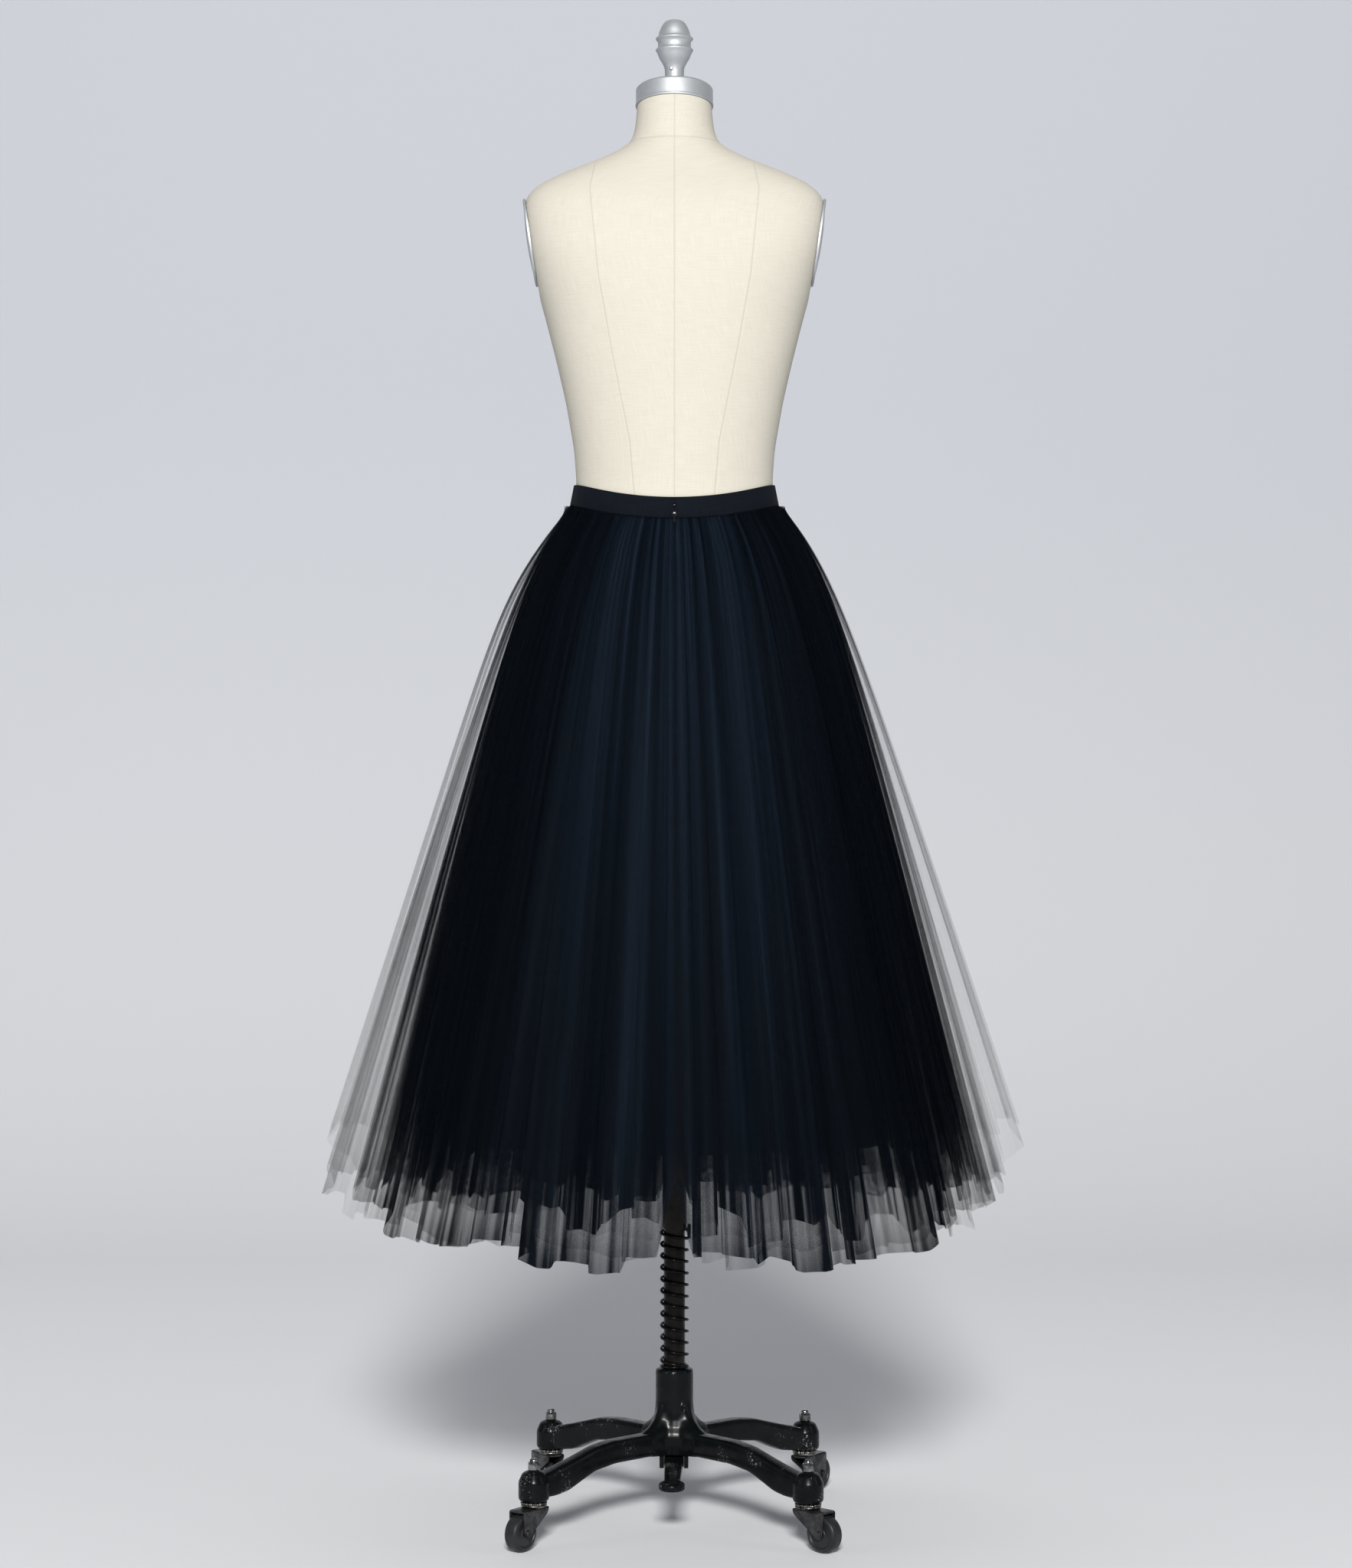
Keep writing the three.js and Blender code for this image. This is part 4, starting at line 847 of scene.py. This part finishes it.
tape = on_the_band([(0.6, 2.2, 0.3, 0.9), (1.0, 2.5, 0.3, 1.3), (21.0, 2.5, 0.3, 1.3), (21.5, 2.2, 0.3, 0.9)])
slider = on_the_band([(0.8, 1.3, 1.7, 2.8), (1.3, 2.1, 1.6, 3.6), (2.2, 2.5, 1.6, 4.0), (4.4, 2.4, 1.6, 4.1),
                      (5.2, 2.6, 1.6, 4.15), (7.2, 2.3, 1.6, 4.1), (7.8, 1.9, 1.6, 3.6), (8.1, 1.2, 1.7, 2.6)])
band_hook = on_the_band([(12.5, 0.9, 1.7, 2.3), (13.2, 1.5, 1.6, 3.1), (15.0, 1.6, 1.6, 3.3), (16.6, 1.2, 1.6, 3.0),
                         (17.0, 0.8, 1.7, 2.3)])
tab_rows = np.array([(0, 0.6, 0.3), (0.4, 1.15, 0.44), (3, 1.2, 0.45), (7, 1.3, 0.45), (11, 1.65, 0.45),
                     (13.5, 1.6, 0.45), (14.7, 1.1, 0.42), (15, 0.5, 0.3)])
tab_down, tab_half, tab_thick = tab_rows.T[:, :, None]
tab_angle = round_angles(24)
tab_rings = np.stack([tab_half * squarish(np.cos(tab_angle), 0.6), tab_thick * squarish(np.sin(tab_angle), 0.6),
                      -tab_down + 0 * tab_angle], axis=-1) / 1000
tab = moved(ring_loft(tab_rings), 0, (0, -0.10105, 1.174), -41)
for name, node_name, grids, finish, body, slot in (
    ("zip_tape_woven", "zip_top", [tape, zip_teeth(8.3, 12.3), zip_teeth(17.3, 20.6)], crepe, "form", "crepe"),
    ("zip_slider_cast", "zip_slider", [slider], zip_black, "form", "black_metal"),
    ("band_hook_bent", "band_hook", [band_hook], hook_steel, "form", "steel"),
    ("zip_pull_tab_cast", "zip_pull_tab", [tab], tab_black, "zip_tab", "black_metal"),
):
    closure = closed_piece(name, grids, finish, 60)
    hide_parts(node_name)
    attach(closure, body)

# ---------------------------------------------------------------------------------------------------------------
# The lining: a plain black A-line underskirt of matte satin, sewn into the waist seam and hemmed at the knee.
satin = cloth_finish("lining_satin", (0.004, 0.0055, 0.009), (0.002, 0.003, 0.005), 0.00025, 0.5, 0.25, 0.5,
                     Specular_IOR_Level=0.12)
fall_length, bell_out, bell_drop = 830.0, 38.0, 65.0
lining_seam, lining_hem_z = 2.2, 455.0
left_draw, right_draw, hip_reach = 10.0, 6.5, 350  # how far the cloth is drawn in at the hips, and how far down


def drawn_in(angle, drop, left_reach=hip_reach):
    """How far in millimetres the cloth lies closer at the hips: at each side a draw that fades as exp(-(drop/reach)^2),
    and nothing yet in the seam."""
    left, right = np.clip(-np.cos(angle), 0, 1) ** 2, np.clip(np.cos(angle), 0, 1) ** 2
    draw = left_draw * left * np.exp(-(drop / left_reach) ** 2) + right_draw * right * np.exp(-(drop / hip_reach) ** 2)
    return draw * (1 - np.exp(-drop / 6))


lining_angle = round_angles(288)
lining_share = np.concatenate([np.linspace(0, 1, 40) ** 1.4, [1.003, 1.001]])[:, None]
lining_drop = lining_share * (seam_z(lining_angle) - lining_hem_z)
lining_fallen = lining_drop / fall_length
lining_in = np.array([0.2] * 40 + [0.7, 1.2])[:, None]
lining_out = (34 * (1 - np.exp(-lining_drop / bell_drop)) + 7 * np.cos(8 * lining_angle) * lining_fallen
              + 1.2 * np.sin(27 * lining_angle + 3 * lining_fallen) * lining_fallen - lining_in
              - drawn_in(lining_angle, lining_drop))
lining_top = waist_point(lining_angle, lining_seam)
lining_grid = np.stack([
    lining_top[:, 0] + np.cos(lining_angle) * (lining_out + 0.17 * lining_drop),
    lining_top[:, 1] + np.sin(lining_angle) * (lining_out + 0.15 * lining_drop),
    seam_z(lining_angle) - 0.3 - lining_drop,
], axis=-1)
lining_down = np.append(lining_drop, lining_drop[:, :1], axis=1) / 1000
lining_uv = np.stack(np.broadcast_arrays(np.arange(289)[None] * 1.5 / 288, lining_down), axis=-1)
lining = place("lining_satin", mesh_from_grid("lining_satin", lining_grid / 1000, uv=lining_uv), satin)
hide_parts("lining")
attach(lining, "form")

# ---------------------------------------------------------------------------------------------------------------
# The tulle: five layers of soft nylon net, each gathered hard into the waist seam and left raw at the hem. The gathers
# run together into deep tubes as they fall, and where a tube's side turns back on itself the net shows three deep.
layer_rows = {  # left, right and depth flare, and hem heights at the side, back and front
    "tulle_layer_1": (0.319, 0.319, 0.274, 470, 385, 390), "tulle_layer_2": (0.304, 0.276, 0.258, 414, 356, 362),
    "tulle_layer_3": (0.262, 0.256, 0.242, 402, 345, 350), "tulle_layer_4": (0.234, 0.244, 0.226, 398, 385, 388),
    "tulle_layer_5": (0.220, 0.232, 0.210, 425, 418, 422),
}
# How much of the middle and the fine gathers is left at the hem: the outer layers fall into smooth panels.
gathers_left = {1: (0.05, 0.02), 2: (0.12, 0.04), 3: (0.28, 0.1), 4: (0.72, 0.26), 5: (0.88, 0.36)}
# How much closer the net looks near the hem at the back and the front.
hem_gain = {1: 0.3, 2: 1.5, 3: 1.7, 4: 0.8, 5: 0.5}
fold_count, fold_depth, own_depth, crest_share, fold_jitter, hem_jitter = 32, 8.0, 4.6, 0.36, 0.42, 12.0
middle_depth, fine_depth = 2.7, 1.5  # half depths of the middle and the fine gathers
layer_step, seam_tuck = 1.75, 0.7  # from layer to layer in the waist seam, and how far all are tucked in
parting_height, parting_half = 80, 2.8  # the slit at the hem's centre back, in millimetres and degrees
broad_folds = np.array([(-90, 11, 11), (-64, 7, -15), (-47, 9, 9), (-112, 7, -10), (-132, 10, 9), (-24, 8, -8),
                        (-158, 8, -9), (28, 8, -10), (52, 10, 9), (74, 7, -12), (96, 11, 10), (118, 7, -12),
                        (140, 10, 8), (163, 8, -8)], float)  # angle in degrees, width, height


def uneven(index, salt):
    """A repeatable uneven value from -1 to 1 for each whole number: twice the fraction of a large sine, less one."""
    value = np.sin(np.asarray(index, float) * 12.9898 + salt * 78.233) * 43758.5453
    return 2 * (value - np.floor(value)) - 1


folds = np.arange(fold_count)
fold_here = (folds + fold_jitter * uneven(folds, 1) / 2) / fold_count
fold_next = np.append(fold_here[1:], fold_here[0] + 1)
crest_half = (crest_share / 2) * (1 + 0.3 * uneven(folds, 2)) / fold_count
valley_here = ((fold_here + crest_half + fold_next - np.roll(crest_half, -1)) / 2
               + 0.1 * uneven(folds, 3) / fold_count)
place_turn = np.stack([fold_here - crest_half, fold_here + crest_half, valley_here], axis=1).reshape(-1)
crest_height = (0.75 + 0.25 * uneven(folds, 4) + 0.65 + 0.35 * uneven(folds, 5)) / 2
valley_height = -0.8 + 0.2 * uneven(folds, 6)


def round_the_waist(turn, at, values):
    """Straight between values that are known at some turns (0 to 1), going round."""
    at3, values3 = np.concatenate([at - 1, at, at + 1]), np.tile(values, 3)
    order = np.argsort(at3)
    return np.interp(turn, at3[order], values3[order])


def waves(turn, fall, counts, drift, seed):
    """A smooth uneven field: the mean of sines with the given whole counts round the waist, whose phases drift as they
    fall. It stays between about -1 and 1."""
    draw = np.random.default_rng(seed)
    total = 0
    for count in counts:
        total = total + np.sin(2 * math.pi * (count * turn + drift * draw.uniform(-1, 1) * fall + draw.uniform()))
    return total / math.sqrt(len(counts))


def tulle_layer(number, flares):
    """One layer as a grid. Round the waist the cloth's place s gives the angle, t = s + a sin(4 pi n s) / (4 pi n)
    for n folds, which turns back on itself where a > 1, and the folds' height, cos(2 pi n s). Two finer sets of gathers
    ride on it in the same way. Downwards: waist seam + bell + straight flare + folds that deepen."""
    left_flare, right_flare, depth_flare, side_hem, back_hem, front_hem = flares
    middle_left, fine_left = gathers_left[number]
    columns, rows = 1440, 38
    s = np.arange(columns)[None] / columns
    down = (np.linspace(0, 1, rows) ** 1.5)[:, None]

    # Where each place of the cloth lies round the waist.
    phase = s * fold_count
    main = 2 * math.pi * phase
    in_fold = (phase + 0.5) % 1 - 0.5  # 0 on a crest, a half in a valley
    crests_and_valleys = np.append(np.stack([fold_here, valley_here], 1).reshape(-1), fold_here[0] + 1)
    mean_turn = np.interp(phase[0], np.arange(0, fold_count + 0.5, 0.5), crests_and_valleys)[None]
    places, half_folds = np.arange(3 * fold_count), np.arange(2 * fold_count)
    overlap = 1.15 + round_the_waist(s, (half_folds + 0.5) / (2 * fold_count), uneven(half_folds, 50 + number))
    overlap = np.clip(overlap, 0, 2.2) * np.clip(0.25 + 1.6 * down, 0, 1)
    middle_count, fine_count = 88 + 7 * number, 196 + 11 * number
    middle = 2 * math.pi * (middle_count * s + 0.4 * waves(s, down, (7, 13, 19), 0.2, 10 + number))
    fine = 2 * math.pi * (fine_count * s + 0.35 * waves(s, down, (17, 29, 41), 0.15, 20 + number))
    middle_share = np.clip(0.75 + 0.5 * waves(s, down, (11, 23, 31), 0.5, 30 + number), 0.1, 1.5)
    fine_share = np.clip(0.8 + 0.5 * waves(s, down, (19, 37, 53), 0.5, 40 + number), 0.1, 1.6)
    middle_fade = middle_left + (1 - middle_left) * np.exp(-down / 0.3)
    fine_fade = fine_left + (1 - fine_left) * np.exp(-down / 0.2)
    turn = (mean_turn + overlap * np.sin(2 * main) / (4 * math.pi * fold_count)
            + middle_share * np.sin(2 * middle) / (4 * math.pi * middle_count) * middle_fade
            + 0.9 * fine_share * fine_fade * np.sin(2 * fine) / (4 * math.pi * fine_count)
            + 0.0012 * down * waves(s, down, (3, 5, 8, 12), 0.7, 60 + number))
    angle = 2 * math.pi * turn
    degrees, sine = np.degrees(angle), np.sin(angle)
    from_back = np.abs((degrees + 90 + 540) % 360 - 180)
    to_left = np.clip(-np.cos(angle), 0, 1)
    at_side = np.abs(np.cos(angle)) ** 6

    # How far it has dropped: the hem is level but for the parting, each fold's tilted flaps and small steps.
    level = side_hem + (np.where(sine < 0, back_hem, front_hem) - side_hem) * (sine ** 2) ** 0.45
    parting = parting_height * np.clip(1 - from_back / parting_half, 0, None)
    flap_at = np.stack([half_folds - 0.34, half_folds + 0.34], 1).reshape(-1) / (2 * fold_count)
    flap = (0.55 * hem_jitter * round_the_waist(turn, place_turn, uneven(places, 10 + number))
            + 11.0 * round_the_waist(s, flap_at, np.repeat(uneven(half_folds, 70 + number), 2))
            + 14.0 * in_fold * (np.abs(in_fold) < 0.25)
            * round_the_waist(s, folds / fold_count, uneven(folds, 80 + number)))
    flap = flap * (1 if number < 4 else 1.9)
    drop = down * (seam_z(angle) - level - parting - flap)[-1:]
    fallen = drop / fall_length
    low = np.clip((fallen - 0.72) / 0.2, 0, 1)

    # How far out it lies.
    crest = round_the_waist(s, folds / fold_count, crest_height)
    valley = round_the_waist(s, (folds + 0.5) / fold_count, valley_height)
    height = valley + (crest - valley) * (0.5 + 0.5 * np.cos(main)) ** 0.65
    soft_top = 1 - np.exp(-drop / 22)
    gather = fold_depth * height * (0.16 + 0.84 * fallen) * soft_top
    small = middle_depth * middle_share * np.cos(middle) * middle_fade * (0.6 + 0.4 * fallen) * soft_top
    tiny = fine_depth * fine_share * fine_fade * np.cos(fine) * (1 - np.exp(-drop / 8))
    own = own_depth * round_the_waist(turn, place_turn, uneven(places, 30 + number)) * fallen
    apart = np.abs((degrees[..., None] - broad_folds[:, 0] + 540) % 360 - 180)
    broad = (broad_folds[:, 2] * np.exp(-(apart / broad_folds[:, 1]) ** 2)).sum(-1)
    out = bell_out * (1 - np.exp(-drop / bell_drop)) + gather + small + tiny + own + broad * fallen ** 1.2
    out = out - drawn_in(angle, drop, 80 if number == 1 else hip_reach)
    side_flare = left_flare + (right_flare - left_flare) * (1 + np.cos(angle)) / 2
    top = waist_point(angle, lining_seam + (6 - number) * layer_step - seam_tuck)
    points = np.stack([top[..., 0] + np.cos(angle) * (out + side_flare * drop),
                       top[..., 1] + np.sin(angle) * (out + depth_flare * drop),
                       seam_z(angle) - 0.3 - drop], axis=-1) / 1000
    at_back = points[..., 1] < 0

    # How much the net covers: more at the seam where it crowds, in streaks, where folds lie edge on, at the hem's raw
    # edge and beside the opening; and near the hem more at the back and the front than at the sides.
    along = np.roll(points, -1, axis=1) - np.roll(points, 1, axis=1)
    length = np.linalg.norm(along, axis=-1)
    steep = np.abs(along[..., 0] * np.cos(angle) + along[..., 1] * np.sin(angle)) / length
    arc = length.sum(axis=1, keepdims=True) / 2
    crowd = np.maximum(arc[-1] / arc, 1) ** 0.9
    edge = np.where(np.arange(rows)[:, None] == rows - 1, 1.35, 1.0)
    inner = number >= 4
    streak_size = (0.28 + 0.5 * low * inner) * (1 - 0.6 * at_side * (not inner))
    streak = np.exp(streak_size * waves(s, down, (97, 151, 211, 307, 401), 0.8, 90 + number))
    placket = 3.0 * np.exp(-(points[..., 0] / 0.0009) ** 2) * at_back * (drop < 150)
    rim = np.where(np.cos(angle) > 0, 1, 0.35) * np.exp(-((from_back - 85) / 5) ** 2) * (number < 3)
    fold_edge = (0.7 if number < 3 else 1.3) * (1 - 0.5 * low) * steep ** 2
    cover = ((1 + fold_edge) * crowd * edge + placket) * streak * (1 + 1.2 * rim)
    cover *= 1 + hem_gain[number] * low * (1 - at_side) * (1 + 0.5 * to_left) - 0.6 * low * at_side * inner
    cover *= 1 - 0.55 * (number == 4) * to_left ** 4
    cover *= 1 + 0.5 * (number in (2, 3)) * to_left ** 3 * np.exp(-((fallen - 0.6) / 0.16) ** 2)
    cover *= 1 + 0.5 * low * round_the_waist(s, flap_at, np.repeat(uneven(half_folds, 130 + number), 2))
    cover *= 1 - 0.5 * inner * np.clip((down - 0.9) / 0.1, 0, 1)

    # How light it is. This paints much of the light and shade: painted shade in the valleys, towards the sides and down
    # the skirt, painted light on the crests, and uneven streaks of painted light and shade along the folds. It is also
    # darker just under the waist seam, with a light line beside the zip.
    painted_side_shade = 0.13 + 0.87 * np.exp(-((np.abs(sine) - 1) / 0.17) ** 2)
    fold_painted_shade = np.clip(0.52 + 0.2 * height + 0.3 * np.cos(middle) * middle_share * middle_fade
                        + 0.16 * np.cos(fine) * fine_fade, 0, 1.5)
    shared_painted_streaks = waves(turn, down, (17, 31, 53, 83, 119), 0.4, 110)
    own_painted_streaks = waves(turn, down, (67, 101, 149, 211), 0.5, 120 + number)
    zip_line = np.exp(-((points[..., 0] - 0.003) / 0.0012) ** 2) * at_back * (np.abs(drop - 30) < 14)
    tone = (painted_side_shade * (0.2 + 0.95 * fold_painted_shade ** 1.4) * np.exp(0.55 * shared_painted_streaks + 0.3 * own_painted_streaks)
            * (1 - 0.8 * fallen ** 1.5) * (1 - 0.8 * np.exp(-drop / 1.2)) + 0.8 * zip_line)

    across = np.concatenate([[0], np.cumsum(length[-1]) / 2])
    uv = np.stack(np.broadcast_arrays(across[None], np.append(drop, drop[:, :1], axis=1) / 1000), axis=-1)
    return points, cover, tone, uv


net_tint = (0.0088, 0.0152, 0.026)
net_hole = 0.0017  # from thread to thread along the cloth's length and width, in metres
thread_share, veil_share, thread_alpha = 0.8, 0.45, 0.62
net_cover = {1: 0.06, 2: 0.09, 3: 0.19, 4: 0.45, 5: 0.62}


def net_finish(name, coverage):
    """Soft nylon net: a diamond mesh of threads on the cloth's own UV in metres, over a thin even veil for the threads
    too fine to draw. Both cover more of the cloth where the cover attribute says that gathers lie closer together."""
    material, tree, shader = start_material(name, Roughness=0.6, Specular_IOR_Level=0.02)
    # The net's colour runs from 0.12 of its tint up to its tint by the tone attribute, which holds painted light and
    # shade.
    tone = node(tree, "ShaderNodeAttribute", attribute_name="tone").outputs["Fac"]
    shade = blend(tree, tone, [0.12 * c for c in net_tint], net_tint, clamp_factor=False)
    tree.links.new(shade, shader.inputs["Base Color"])
    across = node(tree, "ShaderNodeSeparateXYZ", {0: node(tree, "ShaderNodeUVMap", uv_map="cloth").outputs["UV"]})
    threads = []
    for way in ("ADD", "SUBTRACT"):
        slant = calculate(tree, way, across.outputs[0], across.outputs[1])
        wave = calculate(tree, "SINE", calculate(tree, "MULTIPLY", slant, math.pi / net_hole))
        threads.append(calculate(tree, "ABSOLUTE", wave))
    cover = node(tree, "ShaderNodeAttribute", attribute_name="cover").outputs["Fac"]
    wide = calculate(tree, "MULTIPLY", cover, coverage * thread_share)
    thread = calculate(tree, "LESS_THAN", calculate(tree, "MINIMUM", *threads), wide)
    veil = calculate(tree, "MULTIPLY", cover, coverage * veil_share)
    alpha = calculate(tree, "MULTIPLY_ADD", thread, thread_alpha, veil, use_clamp=True)
    tree.links.new(alpha, shader.inputs["Alpha"])
    return material


for number, (name, flares) in enumerate(layer_rows.items(), start=1):
    points, cover_share, tone_and_painted_light, uv = tulle_layer(number, flares)
    mesh = mesh_from_grid(f"{name}_net", points, uv=uv)
    add_attribute(mesh, "cover", cover_share)
    # The tone attribute carries the layer's painted light and shade.
    add_attribute(mesh, "tone", tone_and_painted_light)
    layer = place(f"{name}_net", mesh, net_finish(f"{name}_net", net_cover[number]))
    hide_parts(name)
    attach(layer, "form")
